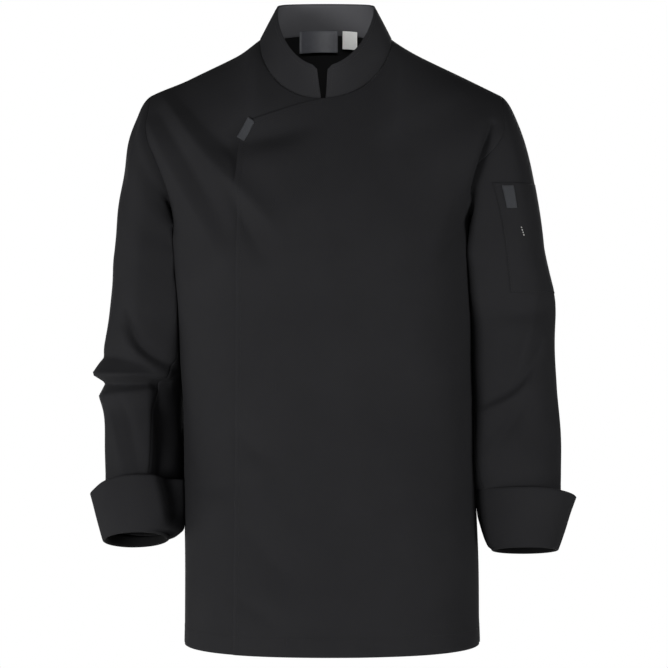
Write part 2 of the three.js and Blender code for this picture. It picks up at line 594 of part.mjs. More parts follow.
const wave = (t) => Math.sin(2 * Math.PI * t) / (2 * Math.PI);
const lowerPart = (t) => 1 + t - elbow.closer * (wave(t - elbow.at) + wave(elbow.at));
const sleeveParts = [
  ...Array.from({ length: steps.cap }, (_, k) => k / steps.cap),
  ...Array.from({ length: steps.sleeveLow + 1 }, (_, k) => lowerPart(k / steps.sleeveLow)),
];

// One of a sleeve's two pieces, between the front seam and the back seam
function sleevePanel(name, upper) {
  const arm = arms[name];
  const columns = upper ? steps.sleeveTop : steps.sleeveUnder;
  const rows = sleeveParts.map((part) => {
    const front = column(arm.rings, mix(sleeveStart, sleeveEnd(arm), Math.max(part - 1, 0)), "seam");
    const back = mix(arm.backSeam.top, arm.backSeam.cuff, ease(part / 2));
    return Array.from({ length: columns + 1 }, (_, j) => {
      const t = j / columns;
      const round = upper ? mix(back - 360, front, t) : mix(front, back, t);
      return sleeveCloth(name, degrees(round), part);
    });
  });
  drawBack(columnOf(rows, 0), columnOf(rows, 1), seamGap / 2 + 0.05);
  drawBack(columnOf(rows, -1), columnOf(rows, -2), seamGap / 2 + 0.05);
  const count = rows[0].length;
  const under = (k) => {
    const t = k / (count - 1);
    const frontSeam = arm.rings[0].seam;
    const round = upper ? mix(arm.backSeam.top - 360, frontSeam, t) : mix(frontSeam, arm.backSeam.top, t);
    return seamGap / 2 + 0.35 + (wall / 2) * ((1 - Math.cos(degrees(round))) / 2) ** 0.6;
  };
  drawBack(rows[0], rows[1], under);
  drawBack(rows[rows.length - 1], rows[rows.length - 2], cuffSeamGap);
  return rows;
}

// A turned-back cuff: up the inside from its seam, round its fold at the bottom and up the outside to a free edge
function cuff(name) {
  const arm = arms[name];
  const { z, x, y, tilt, tall, turn, hem, edge, edgeShift, droop, outerDrop, inward } = arm.cuff;
  const lean = degrees(tilt);
  const up = new THREE.Vector3(0, Math.sin(lean), Math.cos(lean));
  const forward = new THREE.Vector3(0, -Math.cos(lean), Math.sin(lean));
  const across = new THREE.Vector3(arm.side, 0, 0);
  const profile = [];
  for (let k = 0; k <= steps.cuffTurn; k += 1) {
    const bend = (Math.PI * k) / steps.cuffTurn;
    const rise = cuffRoll * (1 - Math.sin(bend));
    profile.push({ rise, inset: cuffRoll * (1 + Math.cos(bend)), share: 0, drop: outerDrop });
  }
  profile.unshift({ rise: turn, inset: 2 * cuffRoll, share: 0, drop: 0 });
  for (let k = 1; k <= steps.cuffTall; k += 1) {
    const share = k / steps.cuffTall;
    profile.push({ rise: mix(cuffRoll, tall, share), inset: 0, share, drop: outerDrop * (1 - share) });
  }
  const at = (p, round) => {
    const outside = Math.cos(round);
    const middle = new THREE.Vector3(arm.side * (x + edgeShift * p.share), y, z)
      .addScaledVector(up, p.rise - droop * p.share * Math.max(outside, 0) ** 2 - p.drop * outside);
    const spread = p.share ** mix(0.95, 0.5, ease((1 - outside) / 2));
    const reach = [0, 1].map((k) => mix(hem[k], edge[k], spread) - wall / 2 - p.inset);
    reach[0] += inward * ease(-outside) * p.share ** 0.45;
    const point = middle.addScaledVector(across, reach[0] * Math.cos(round))
      .addScaledVector(forward, reach[1] * Math.sin(round));
    return clearOfBody(arm, point, wall + bodyClearance + p.inset);
  };
  return profile.map((p, i) => Array.from({ length: steps.cuffRound }, (_, j) => {
    const round = (2 * Math.PI * j) / steps.cuffRound;
    const point = at(p, round);
    const [before, after] = [profile[Math.max(i - 1, 0)], profile[Math.min(i + 1, profile.length - 1)]];
    const alongProfile = at(after, round).sub(at(before, round));
    const alongRound = at(p, round + 0.01).sub(at(p, round - 0.01));
    const normal = alongRound.cross(alongProfile).normalize().multiplyScalar(arm.side);
    return { point, normal };
  }));
}

// The collar: turn is 0 at the centre front and 180 at the centre back, tall 0 at its seam and 1 at its top
function collarPoint(turn, tall) {
  const atBack = Math.cos(turn) < 0;
  const [s, c] = [Math.sin(turn), Math.abs(Math.cos(turn))];
  const [angle, level] = necklinePlace(atBack ? 1 : -1, Math.asin(clamp(s, -1, 1)));
  const base = bodyCloth(atBack ? 1 : -1, angle, level).point;
  const t = collarTop;
  const top = new THREE.Vector3(
    t.halfWidth * power(s, atBack ? 0.82 : 1) + (atBack ? 0 : centreFrontShift * 1.4 * c),
    mix(t.middleY, atBack ? t.backY : t.frontY, c),
    atBack ? mix(t.sideZ, t.backZ, c ** 0.5) : mix(t.sideZ, t.frontZ, c ** 1.2),
  );
  const bulge = collarBulge * Math.sin(Math.PI * tall);
  const away = new THREE.Vector3(s, atBack ? c : -c, 0).normalize();
  return base.lerp(top, tall).addScaledVector(away, bulge);
}

function collarCloth(offset, tallFrom, tallTo) {
  return Array.from({ length: steps.collarTall + 1 }, (_, i) => {
    const tall = mix(tallFrom, tallTo, i / steps.collarTall);
    const gap = degrees(mix(collarGap.base, collarGap.top, tall));
    const count = 4 * steps.neckline;
    return Array.from({ length: count + 1 }, (_, j) => {
      const turn = clamp((2 * Math.PI * j) / count, gap, 2 * Math.PI - gap);
      const point = collarPoint(turn, tall);
      const normal = outward(collarPoint, turn, tall, [0.01, 2 * Math.PI - 0.01, 0, 1]);
      const out = new THREE.Vector3(Math.sin(turn), -Math.cos(turn), 0);
      if (normal.dot(out) < 0) normal.negate();
      return { point: point.addScaledVector(normal, offset), normal };
    });
  });
}

// A label sewn into the back of the collar seam, hanging inside
function label({ left, right, tall }) {
  const columns = 3;
  const drops = [-1, 0.2 * tall, 0.45 * tall, 0.7 * tall, tall];
  return drops.map((drop) => Array.from({ length: columns + 1 }, (_, j) => {
    const x = mix(left, right, j / columns);
    const turn = Math.PI - Math.asin(x / neckHalfWidth);
    const seam = collarPoint(turn, 0.06);
    const above = collarPoint(turn, 0.16);
    const inside = collarWall + seamGap / 2 + seamGap + trimWall / 2 + 1.3;
    const lean = above.clone().sub(seam).multiplyScalar(Math.max(-drop, 0) / above.distanceTo(seam));
    const point = seam.add(lean).add(new THREE.Vector3(0, -inside, -Math.max(drop, 0)));
    return { point, normal: new THREE.Vector3(0, 1, 0) };
  }));
}

// The pen pocket, and its tape: patches that lie on the left sleeve's own grid
function sleevePatch({ top, bottom, from, to }, tallSteps, lift) {
  const grid = sleeveTopGrid.left;
  const wide = grid[0].length - 1;
  const firstSeam = arms.left.backSeam.top - 360;
  const columnAt = (round) => (wide * (round - firstSeam)) / (arms.left.rings[0].seam - firstSeam);
  const [first, last] = [columnAt(to), columnAt(from)];
  const columns = [first];
  for (let j = Math.floor(first) + 1; j < last; j += 1) columns.push(j);
  columns.push(last);
  const spot = (row, col) => {
    const [i, j] = [Math.min(Math.floor(row), grid.length - 2), Math.min(Math.floor(col), wide - 1)];
    const [u, v] = [row - i, col - j];
    const blend = (name) => grid[i][j][name].clone().lerp(grid[i][j + 1][name], v)
      .lerp(grid[i + 1][j][name].clone().lerp(grid[i + 1][j + 1][name], v), u);
    return { point: blend("point"), normal: blend("normal").normalize() };
  };
  const rowAt = (z, col) => {
    let [low, high] = [1, grid.length - 2];
    for (let k = 0; k < 30; k += 1) {
      const row = (low + high) / 2;
      if (spot(row, col).point.z > z) low = row;
      else high = row;
    }
    return (low + high) / 2;
  };
  return Array.from({ length: tallSteps + 1 }, (_, i) => columns.map((col) => {
    const { point, normal } = spot(rowAt(mix(top, bottom, i / tallSteps), col), col);
    return { point: point.addScaledVector(normal, lift), normal };
  }));
}

// The tape that is folded over the closing's corner, lying on the left front
function frontTapePatch(lift) {
  const { fromX, fromZ, toX, toZ, wide } = frontTape;
  const length = Math.hypot(toX - fromX, toZ - fromZ);
  const [acrossX, acrossZ] = [-(toZ - fromZ) / length, (toX - fromX) / length];
  return Array.from({ length: 4 }, (_, i) => Array.from({ length: 3 }, (_, j) => {
    const off = wide * (j / 2 - 0.5);
    const x = mix(fromX, toX, i / 3) + acrossX * off;
    const z = mix(fromZ, toZ, i / 3) + acrossZ * off;
    const [angle, level] = locate(-1, x, z);
    return bodyCloth(-1, angle, level, lift);
  }));
}

addPiece("back_panel", cloth(backPanel()));
addPiece("right_front_panel", cloth(rightFront()));
addPiece("left_front_panel", cloth(leftFront()));
const sleeveTopGrid = { right: sleevePanel("right", true), left: sleevePanel("left", true) };
for (const name of ["right", "left"]) {
  addPiece(`${name}_sleeve_top`, cloth(sleeveTopGrid[name]));
  addPiece(`${name}_sleeve_under`, cloth(sleevePanel(name, false)));
  addPiece(`${name}_cuff`, cloth(cuff(name), { round: true }));
}
const collarLayer = (collarWall + seamGap) / 2;
const collarBase = collarStart / 40;
addPiece("collar_stand", cloth(collarCloth(collarLayer, collarBase, 1), { thick: collarWall }));
addPiece("collar_facing", cloth(collarCloth(-collarLayer, collarBase, 0.985), { thick: collarWall }),
  { ...blackCloth, color: 0x2f2f32 });
const onCloth = wall / 2 + trimWall / 2 + seamGap;
addPiece("sleeve_pocket", cloth(sleevePatch(pocket, 8, onCloth + patchSlack), { thick: trimWall }));
const onPocket = onCloth + patchSlack + trimWall + seamGap;
const greyTape = { color: 0x55565a, roughness: 0.8, metalness: 0 };
addPiece("sleeve_tape", cloth(sleevePatch(sleeveTape, 3, onPocket), { thick: trimWall }), greyTape);
addPiece("front_tape", cloth(frontTapePatch(overlap.lift + onCloth), { thick: trimWall }), greyTape);
addPiece("neck_label", cloth(label(backLabel), { thick: trimWall }),
  { color: 0x2b2c30, roughness: 0.7, metalness: 0 });
addPiece("size_label", cloth(label(sizeLabel), { thick: trimWall }),
  { color: 0xe4e4e4, roughness: 0.8, metalness: 0 });

export default jacket;
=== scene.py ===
import math

import bpy
import numpy as np
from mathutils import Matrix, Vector


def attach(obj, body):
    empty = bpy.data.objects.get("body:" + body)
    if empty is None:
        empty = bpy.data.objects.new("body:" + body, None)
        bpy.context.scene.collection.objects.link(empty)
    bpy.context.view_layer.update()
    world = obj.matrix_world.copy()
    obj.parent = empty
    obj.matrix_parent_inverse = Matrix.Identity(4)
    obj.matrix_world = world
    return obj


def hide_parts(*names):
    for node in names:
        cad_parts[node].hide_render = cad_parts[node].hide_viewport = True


# A man's black chef jacket, filled out with nobody in it. The cloth is worked out in millimetres, in the frame of
# the solids, and turned to metres when a mesh is made. +X is the wearer's left, -Y the front, +Z up.
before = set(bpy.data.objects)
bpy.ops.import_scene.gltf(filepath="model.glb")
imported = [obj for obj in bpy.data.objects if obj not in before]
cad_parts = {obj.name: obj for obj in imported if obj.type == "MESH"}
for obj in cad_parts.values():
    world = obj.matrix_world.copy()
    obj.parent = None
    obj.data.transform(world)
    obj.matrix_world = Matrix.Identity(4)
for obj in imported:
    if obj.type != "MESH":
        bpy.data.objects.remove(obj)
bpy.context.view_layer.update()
print("frame loaded")

# Cloth
cloth = {"wall": 1.6, "collarWall": 1.4, "trimWall": 0.9, "pocketWall": 0.5, "seamGap": 0.3}

# Sizes of the body
body = {
    "roundness": 2.3, "hem": -752.0, "underarm": -235.0, "shoulderReach": 252.0, "neckHalfWidth": 81.0,
    "frontNeckDrop": -82.0, "backNeckRise": 16.0, "centreFrontShift": -3.0, "scoopDepth": 0.58, "scoopSquareness": 5.0,
    "chestGain": 2.75, "chestReach": 95.0,
    "rise": 37.0, "slope": 0.49, "soften": 35.0, "neckLift": 40.0, "neckSpread": 60.0, "rightDrop": 3.0,
}
bodyRings = {
    "z": [-752, -656, -575, -450, -350, -287, -235],
    "centre": [7.5, 7.3, 5.3, 2.5, -2.7, -6.0, -8.0],
    "halfWidth": [183.5, 183.0, 182.0, 180.8, 184.8, 188.0, 190.5],
    "front": [139, 137, 135, 133, 136, 139.5, 140],
    "back": [121, 116, 110, 103, 107, 116.5, 118],
}
closing = {"hemX": -110, "topX": -105, "cornerHeight": -146, "cornerX": -85, "cornerTop": -107,
           "slantBow": 3, "lift": 1.8, "lower": 1.2, "fullBelow": 34, "noneAbove": 74, "underX": 28, "underTop": -165}

# Sizes of the sleeves: the middle of each section, its outer half width and half depth, how square its inner front
# is (2 is an ellipse), how much further it reaches towards the body, all over and at its front only, how far its
# inner front falls back, and where its front seam runs in degrees
arms = {
    "right": {
        "side": -1, "backTop": 248, "backCuff": 262,
        "z": [-265, -325, -370, -420, -466, -502, -540, -570, -608],
        "x": [226.0, 229.5, 230.5, 231.0, 229.0, 227.5, 228.5, 231.0, 233.5],
        "y": [12, 18, 22, 24, 16, 5, -7, -17, -30],
        "across": [38.5, 41.0, 46.5, 51.5, 50.2, 48.6, 46.5, 43.5, 37.9],
        "deep": [67, 66, 64, 61, 58, 56, 52, 47, 40.6],
        "square": [12.0, 12.0, 8.0, 2.8, 2.0, 2.0, 2.0, 2.0, 2.0],
        "inward": [0, 0, 0, 0, 0, 3, 6, 3, 0],
        "hug": [17, 15, 5, 0, 0, 0, 0, 0, 0],
        "sink": [0, 0, 0, 0, 16, 22, 22, 21, 18],
        "seam": [150, 150, 146, 124, 107, 104, 104, 104, 104],
        "cuff": {"z": -621, "x": 234, "y": -34.5, "tilt": 18, "tall": 75, "turn": 12, "hem": (41.8, 44.5),
                 "edge": (56.5, 60), "edgeShift": 1.5, "droop": 19, "outerDrop": 3, "inward": 27,
                 "frontDrop": 8, "sink": 22, "fullness": 0.45},
    },
    "left": {
        "side": 1, "backTop": 248, "backCuff": 262,
        "z": [-265, -301, -329, -362, -406, -466, -545, -580, -621],
        "x": [229.5, 234.2, 236.8, 237.3, 238.3, 239.8, 242.5, 245.0, 247.0],
        "y": [8, 11, 13, 14, 13, 6, -8, -15, -24],
        "across": [43.8, 46.6, 49.2, 49.8, 50.2, 51.8, 51.5, 46.5, 37.6],
        "deep": [68, 67, 66, 65, 63, 60, 54, 48, 40.6],
        "square": [7.0, 6.5, 5.0, 3.6, 3.6, 3.4, 2.8, 2.2, 2.0],
        "inward": [0, 0, 0, 0, 0, 2, 10, 5, 0],
        "hug": [18, 16, 14, 12, 10, 7, 3, 1, 0],
        "sink": [0, 0, 0, 0, 0, 0, 0, 0, 0],
        "seam": [152, 152, 151, 150, 148, 145, 141, 140, 140],
        "cuff": {"z": -635, "x": 246.5, "y": -27, "tilt": 11, "tall": 73, "turn": 12, "hem": (42, 44.5),
                 "edge": (60, 61), "edgeShift": 4, "droop": 8, "outerDrop": 0, "inward": 10,
                 "frontDrop": 2, "sink": 0, "fullness": 1.1},
    },
}
sleeve = {"start": -265.0, "tuck": 16, "tuckClear": 60, "clearance": 0.2, "cuffRoll": 2, "cuffSeam": 1.2}
collar = {"topHalfWidth": 60.0, "topMiddleY": 3, "topFrontY": -88, "topBackY": 36, "topSideZ": 38, "topFrontZ": -43,
          "topBackZ": 49.5, "gapBase": 2.3, "gapTop": 6.6, "start": 0.9, "bulge": 0.5, "corner": 0.1}

# Creases, each along a line bent by bow. height is over 0 for a ridge and under 0 for a trough; near and far are its
# widths below and above a line that falls to the right; power is 2 for a soft round one and nearer 1 for a sharp one.
# On the body x and z are as seen from the front or the back; "front" is on both fronts where one covers the other.
creaseColumns = ("on", "x1", "z1", "x2", "z2", "bow", "near", "far", "height", "power")
bodyCreases = [
    ("front", -190, -90, -84, -212, 3, 26, 11, 11.0, 1.2),
    ("right", -178, -78, -84, -178, 2, 10, 20, -5.0, 1.8),
    ("right", -216, -112, -128, -268, -4, 26, 11, 10.0, 1.2),
    ("right", -202, -100, -118, -252, -4, 8, 9, -4.0, 1.6),
    ("right", -209, -148, -186, -240, 0, 8, 8, -7.0, 1.5),
    ("right", -192, -286, -180, -410, 0, 9, 9, -2.2, 1.6),
    ("front", -112, -196, -76, -276, 3, 9, 8, -6.0, 1.4),
    ("front", -104, -186, -56, -248, 0, 10, 12, 6.0, 1.4),
    ("front", -116, -138, -26, -118, 0, 18, 22, -11.0, 1.8),
    ("left", 178, -84, 78, -142, 0, 20, 30, -5.0, 2),
    ("left", 124, -104, 90, -214, 0, 26, 26, -3.0, 2),
    ("left", 184, -212, 144, -270, 0, 9, 10, -4.5, 1.5),
    ("left", 172, -186, 118, -262, 0, 16, 16, 3.0, 2),
    ("left", 204, -112, 180, -196, -2, 5, 7, -14.0, 1.5),
    ("front", -108, -484, -60, -530, 0, 11, 13, -2.6, 1.7),
    ("front", -152, -558, -86, -545, 0, 12, 13, -2.2, 1.9),
    ("front", -98, -598, -28, -680, 0, 12, 17, -3.2, 1.7),
    ("front", -70, -566, -30, -622, 0, 12, 12, 1.6, 2),
    ("front", -110, -680, -58, -716, 0, 10, 14, -3.0, 1.7),
    ("front", -12, -710, 20, -736, 0, 12, 12, -1.5, 2),
    ("front", 90, -470, 128, -740, 0, 34, 34, 3.0, 2),
    ("front", 20, -520, 36, -750, 0, 34, 34, -2.4, 2),
    ("back", -186, -128, -66, -206, 6, 18, 10, 5.0, 1.7),
    ("back", -178, -112, -60, -188, 6, 9, 18, -4.5, 1.7),
    ("back", 190, -120, 84, -214, -5, 10, 18, 5.5, 1.7),
    ("back", 182, -106, 74, -196, -5, 18, 9, -4.5, 1.7),
    ("back", -190, -180, -112, -330, 0, 18, 10, 4.5, 1.7),
    ("back", 186, -176, 104, -318, 0, 10, 20, 4.0, 1.7),
    ("back", -60, -300, -84, -745, 10, 22, 30, 4.5, 1.8),
    ("back", 64, -320, 92, -745, -8, 30, 20, 4.5, 1.8),
    ("back", 0, -330, 6, -748, 6, 26, 34, -4.0, 1.8),
    ("back", -128, -470, -142, -745, 0, 24, 20, -3.5, 1.8),
    ("back", 132, -450, 144, -745, 0, 18, 24, -3.5, 1.8),
    ("back", -70, -58, 64, -64, 10, 12, 16, -2.0, 1.8),
]
# On a sleeve x is the place round the arm in degrees: 0 outside, 90 front, 180 against the body
sleeveCreases = [
    ("right", -46, -419, 140, -416, 0, 6, 13, 14.0, 1.15),
    ("right", -40, -429, 128, -428, 0, 8, 5, -8.0, 1.4),
    ("right", -30, -402, 112, -406, -8, 6, 9, -4.5, 1.6),
    ("right", 66, -340, 134, -408, 12, 4, 9, -8.0, 1.3),
    ("right", 64, -362, 130, -416, 6, 8, 4, 6.0, 1.2),
    ("right", -30, -446, 134, -432, 3, 16, 6, 6.0, 1.25),
    ("right", 36, -452, 72, -548, 0, 16, 8, 4.5, 1.4),
    ("right", 62, -448, 88, -530, 0, 9, 8, -4.0, 1.5),
    ("right", 128, -160, 152, -236, 0, 5, 6, -5.5, 1.4),
    ("right", 250, -300, 320, -420, 0, 13, 13, 3.5, 1.7),
    ("right", 225, -428, 320, -426, 0, 8, 8, 5.5, 1.5),
    ("right", 230, -446, 318, -442, 0, 7, 8, -5.0, 1.5),
    ("right", 232, -402, 310, -408, 6, 8, 10, -4.0, 1.6),
    ("left", 56, -382, 128, -454, 9, 6, 13, -7.0, 1.4),
    ("left", 66, -400, 132, -464, 9, 9, 5, 4.5, 1.4),
    ("left", 84, -448, 124, -514, 0, 7, 13, -5.5, 1.5),
    ("left", 92, -458, 130, -520, 0, 8, 5, 3.0, 1.5),
    ("left", 62, -326, 100, -428, 0, 14, 8, 5.0, 1.5),
    ("left", 36, -338, 128, -344, 0, 13, 16, -4.0, 1.9),
    ("left", 122, -146, 152, -236, 0, 5, 6, -8.0, 1.4),
    ("left", 104, -132, 140, -214, 0, 5, 6, -5.5, 1.4),
    ("left", 20, -440, 70, -500, 0, 12, 12, -2.4, 1.8),
    ("left", 240, -402, 325, -428, 0, 10, 13, 5.0, 1.6),
    ("left", 235, -444, 320, -452, 0, 9, 12, -4.5, 1.6),
    ("left", 245, -290, 300, -350, 0, 12, 15, -3.5, 1.8),
    ("left", 236, -470, 300, -476, 0, 9, 9, 3.0, 1.7),
]


def ease(x):
    x = np.clip(x, 0, 1)
    return x * x * (3 - 2 * x)


def mix(a, b, t):
    return a + (b - a) * t


def signedPower(x, p):
    return np.sign(x) * np.abs(x) ** p


def column(table, z, name):  # a smooth value of a table's column at the height z
    zs, vs = np.array(table["z"], float), np.array(table[name], float)
    if zs[0] > zs[-1]:
        zs, vs = zs[::-1], vs[::-1]
    i = np.clip(np.searchsorted(zs, z, side="right") - 1, 0, len(zs) - 2)
    before, after = np.maximum(i - 1, 0), np.minimum(i + 2, len(zs) - 1)
    span = zs[i + 1] - zs[i]
    t = np.clip((z - zs[i]) / span, 0, 1)
    slopeA = (vs[i + 1] - vs[before]) / (zs[i + 1] - zs[before]) * span
    slopeB = (vs[after] - vs[i]) / (zs[after] - zs[i]) * span
    return ((2 * t**3 - 3 * t**2 + 1) * vs[i] + (t**3 - 2 * t**2 + t) * slopeA
            + (3 * t**2 - 2 * t**3) * vs[i + 1] + (t**3 - t**2) * slopeB)


def shoulderHeight(x):
    b = body
    dropped = b["rightDrop"] * ease((-x - b["neckHalfWidth"]) / 30) * (1 - ease((-x - 170) / 45))
    lift = b["neckLift"] * np.exp(-((x / b["neckSpread"]) ** 2))
    return b["rise"] - b["slope"] * np.hypot(x, b["soften"]) + lift - dropped


def oval(side, w):
    low = body["underarm"]
    z = np.where(w <= 0, low + w * (low - body["hem"]), low)
    over = np.maximum(w, 0)
    centre = column(bodyRings, z, "centre") * (1 - ease(over / 0.5))
    depth = column(bodyRings, z, "front" if side < 0 else "back") - cloth["wall"] / 2
    half = mix(column(bodyRings, z, "halfWidth") - cloth["wall"] / 2, body["shoulderReach"], ease(over / 0.55))
    return z, centre, depth, half


# Middle of the body's cloth; w is -1 at the hem, 0 at the underarm and 1 at the shoulder seam
def bodyPoint(side, angle, w):
    z, centre, depth, half = oval(side, w)
    p = 2 / body["roundness"]
    x = centre + half * signedPower(np.sin(angle), p)
    y = side * depth * np.maximum(np.cos(angle), 0) ** p
    g = np.sin(np.pi / 2 * np.clip(w, 0, 1))
    z = np.where(w > 0, body["underarm"] + (shoulderHeight(x) - body["underarm"]) * g, z)
    lean = body["chestGain"] * np.maximum(0, 1 - (x / body["chestReach"]) ** 2) ** 2 if side < 0 else 0
    y = np.where(w > 0, y * np.sqrt(np.maximum(0, 1 - g * g)) * (1 - 0.98 * g**3) ** lean, y)
    return np.stack([x, y, z], -1)


def locate(side, x, z):
    x, z = np.broadcast_arrays(np.asarray(x, float), np.asarray(z, float))
    low = body["underarm"]
    high = 2 / np.pi * np.arcsin(np.clip((z - low) / (shoulderHeight(x) - low), 0, 1))
    w = np.where(z <= low, (z - low) / (low - body["hem"]), high)
    _, centre, _, half = oval(side, w)
    share = np.clip((x - centre) / half, -1, 1)
    return np.arcsin(signedPower(share, body["roundness"] / 2)), w


def creaseSum(rows, on, u, v, stretch=1.0):
    total = np.zeros(np.broadcast(u, v).shape)
    for row in rows:
        c = dict(zip(creaseColumns, row))
        if c["on"] != on:
            continue
        u1, u2 = c["x1"] * stretch, c["x2"] * stretch
        du, dv = u2 - u1, c["z2"] - c["z1"]
        length = math.hypot(du, dv)
        along = ((u - u1) * du + (v - c["z1"]) * dv) / length
        off = ((u - u1) * dv - (v - c["z1"]) * du) / length
        t = np.clip(along / length, 0, 1)
        off = off - c["bow"] * np.sin(np.pi * t)
        past = along - np.clip(along, 0, length)
        taper = np.sin(np.pi * (0.12 + 0.76 * t))
        width = np.where(off > 0, c["near"], c["far"])
        end = past / ((c["near"] + c["far"]) / 2)
        total += c["height"] * taper * np.exp(-np.abs(off / width) ** c["power"] - end**2)
    return total


def waves(u, v, seed, size, height):  # slow unevenness of hanging cloth, from a few crossing waves
    rng = np.random.default_rng(seed)
    total = np.zeros(np.broadcast(u, v).shape)
    for _ in range(7):
        turn, phase = rng.uniform(0, np.pi), rng.uniform(0, 2 * np.pi)
        length = size * rng.uniform(0.6, 1.6)
        total += np.sin(2 * np.pi * (u * math.cos(turn) + v * math.sin(turn)) / length + phase)
    return height * total / 2.6


def gridNormals(p, closed=False):
    if closed:
        wide = np.concatenate([p[:, -1:], p, p[:, :1]], 1)
        du = (wide[:, 2:] - wide[:, :-2])
    else:
        du = np.gradient(p, axis=1)
    dv = np.gradient(p, axis=0)
    n = np.cross(du, dv)
    return n / np.maximum(np.linalg.norm(n, axis=-1, keepdims=True), 1e-9)


def facing(n, way):  # normals turned the way that a vector, or a field of them, points
    return n if np.sum(n * way) > 0 else -n


def bodyNormal(side, angle, w):
    e = 0.01
    du = bodyPoint(side, np.minimum(angle + e, np.pi / 2), w) - bodyPoint(side, np.maximum(angle - e, -np.pi / 2), w)
    dv = bodyPoint(side, angle, np.minimum(w + e, 1)) - bodyPoint(side, angle, np.maximum(w - e, -1))
    n = np.cross(du, dv) * -side
    return n / np.maximum(np.linalg.norm(n, axis=-1, keepdims=True), 1e-9)


def bodyCloth(side, angle, w, lift=0.0, panel=None):
    angle, w = np.broadcast_arrays(np.asarray(angle, float), np.asarray(w, float))
    p, n = bodyPoint(side, angle, w), bodyNormal(side, angle, w)
    x, z = p[..., 0], p[..., 2]
    crease = creaseSum(bodyCreases, "front" if side < 0 else "back", x, z)
    if panel == "right":  # its own creases die away under the left front
        crease = crease + creaseSum(bodyCreases, "right", x, z) * (1 - ease((x - closing["hemX"] - 2) / 24))
    if panel == "left":
        crease = crease + creaseSum(bodyCreases, "left", x, z)
    fade = ease(np.maximum(np.cos(angle), 0) / 0.35) * (1 - ease((w - 0.8) / 0.2))
    soft = waves(p[..., 0], p[..., 2], 3 if side < 0 else 8, 130, 0.8) * (1 - ease((w - 0.7) / 0.3))
    soft = soft * ease(np.maximum(np.cos(angle), 0) / 0.5)
    return p + n * (crease * fade + soft + lift)[..., None], n


def armholeAngle(w):
    scoop = body["scoopDepth"] * np.sqrt(1 - (1 - np.clip(w, 0, 1)) ** body["scoopSquareness"])
    return np.arccos(scoop ** (body["roundness"] / 2))


def evenLevels(side, arm, count):
    w = np.linspace(0, 1, 1201)
    p = bodyPoint(side, arm * armholeAngle(w), w)
    length = np.concatenate([[0], np.cumsum(np.linalg.norm(np.diff(p, axis=0), axis=1))])
    return np.interp(np.linspace(0, length[-1], count + 1), length, w)


def necklinePlace(side, turn, lower=0.0):
    b = body
    s, c = np.sin(turn), np.cos(turn)
    x = b["neckHalfWidth"] * s + (b["centreFrontShift"] * c if side < 0 else 0)
    atShoulder = shoulderHeight(b["neckHalfWidth"])
    z = mix(atShoulder, b["frontNeckDrop"] - lower if side < 0 else b["backNeckRise"], np.abs(c) if side < 0 else c * c)
    z = np.where(np.abs(c) < 1e-6, shoulderHeight(x), z)
    return locate(side, x, z)


# How finely the panels are divided
steps = {"low": 124, "armhole": 84, "closingSide": 20, "closingCorner": 14, "closingTop": 20, "neckline": 30,
         "shoulder": 24, "leftFront": 96, "rightFront": 70}


def places(*parts):  # rows of [angle, level] laid end to end
    return np.concatenate([np.stack(np.broadcast_arrays(*p), -1).reshape(-1, 2) for p in parts])


lowLevels = np.linspace(-1, 0, steps["low"], endpoint=False)
lowHeights = body["underarm"] + lowLevels * (body["underarm"] - body["hem"])


def outerEdge(side, arm):
    w = evenLevels(side, arm, steps["armhole"])
    return places((arm * np.pi / 2, lowLevels), (arm * armholeAngle(w), w))


def alongNeckline(side, arm, lower=0.0):
    k = np.arange(1, steps["neckline"] + 1)
    return necklinePlace(side, arm * k * np.pi / (2 * steps["neckline"]), lower)


def leftFrontEdge():
    c = closing
    lineX = lambda z: mix(c["hemX"], c["topX"], (z - body["hem"]) / (c["cornerHeight"] - body["hem"]))
    sideZ = np.linspace(body["underarm"], c["cornerHeight"], steps["closingSide"], endpoint=False)
    t = np.linspace(0, 1, steps["closingCorner"], endpoint=False)
    cornerX = (1 - t) ** 2 * c["topX"] + 2 * t * (1 - t) * (c["topX"] + 1) + t * t * c["cornerX"]
    cornerZ = (1 - t) ** 2 * c["cornerHeight"] + 2 * t * (1 - t) * (c["cornerTop"] - 9) + t * t * c["cornerTop"]
    s = np.linspace(0, 1, steps["closingTop"] + 1)
    slantZ = mix(c["cornerTop"], body["frontNeckDrop"] - c["lower"], s) + c["slantBow"] * np.sin(np.pi * s)
    return places(locate(-1, lineX(lowHeights), lowHeights), locate(-1, lineX(sideZ), sideZ),
                  locate(-1, cornerX, cornerZ), locate(-1, mix(c["cornerX"], body["centreFrontShift"], s), slantZ),
                  alongNeckline(-1, 1, c["lower"]))


def rightFrontEdge():
    c = closing
    sideZ = np.linspace(body["underarm"], c["underTop"], steps["closingSide"], endpoint=False)
    s = np.linspace(0, 1, steps["closingCorner"] + steps["closingTop"] + 1)
    return places(locate(-1, c["underX"], lowHeights), locate(-1, c["underX"], sideZ),
                  locate(-1, mix(c["underX"], body["centreFrontShift"], s), mix(c["underTop"], body["frontNeckDrop"], s)),
                  alongNeckline(-1, -1))


ovalTurns = np.linspace(-np.pi / 2, np.pi / 2, 361)
ovalPoints = bodyPoint(-1, ovalTurns, np.full(361, -0.4))
ovalLength = np.concatenate([[0], np.cumsum(np.linalg.norm(np.diff(ovalPoints, axis=0), axis=1))])
ovalLength -= ovalLength[180]


def clothPlace(angle, w):  # where a point of the body lies on the flat cloth, in millimetres, for the weave
    return np.stack([np.interp(angle, ovalTurns, ovalLength), np.where(w < 0, w * 517, w * 300)], -1)


neckRow = steps["low"] + steps["closingSide"] + steps["closingCorner"] + steps["closingTop"]


def drawBack(edge, inner, amount):
    way = inner - edge
    way /= np.maximum(np.linalg.norm(way, axis=-1, keepdims=True), 1e-9)
    edge += way * np.asarray(amount)[..., None]


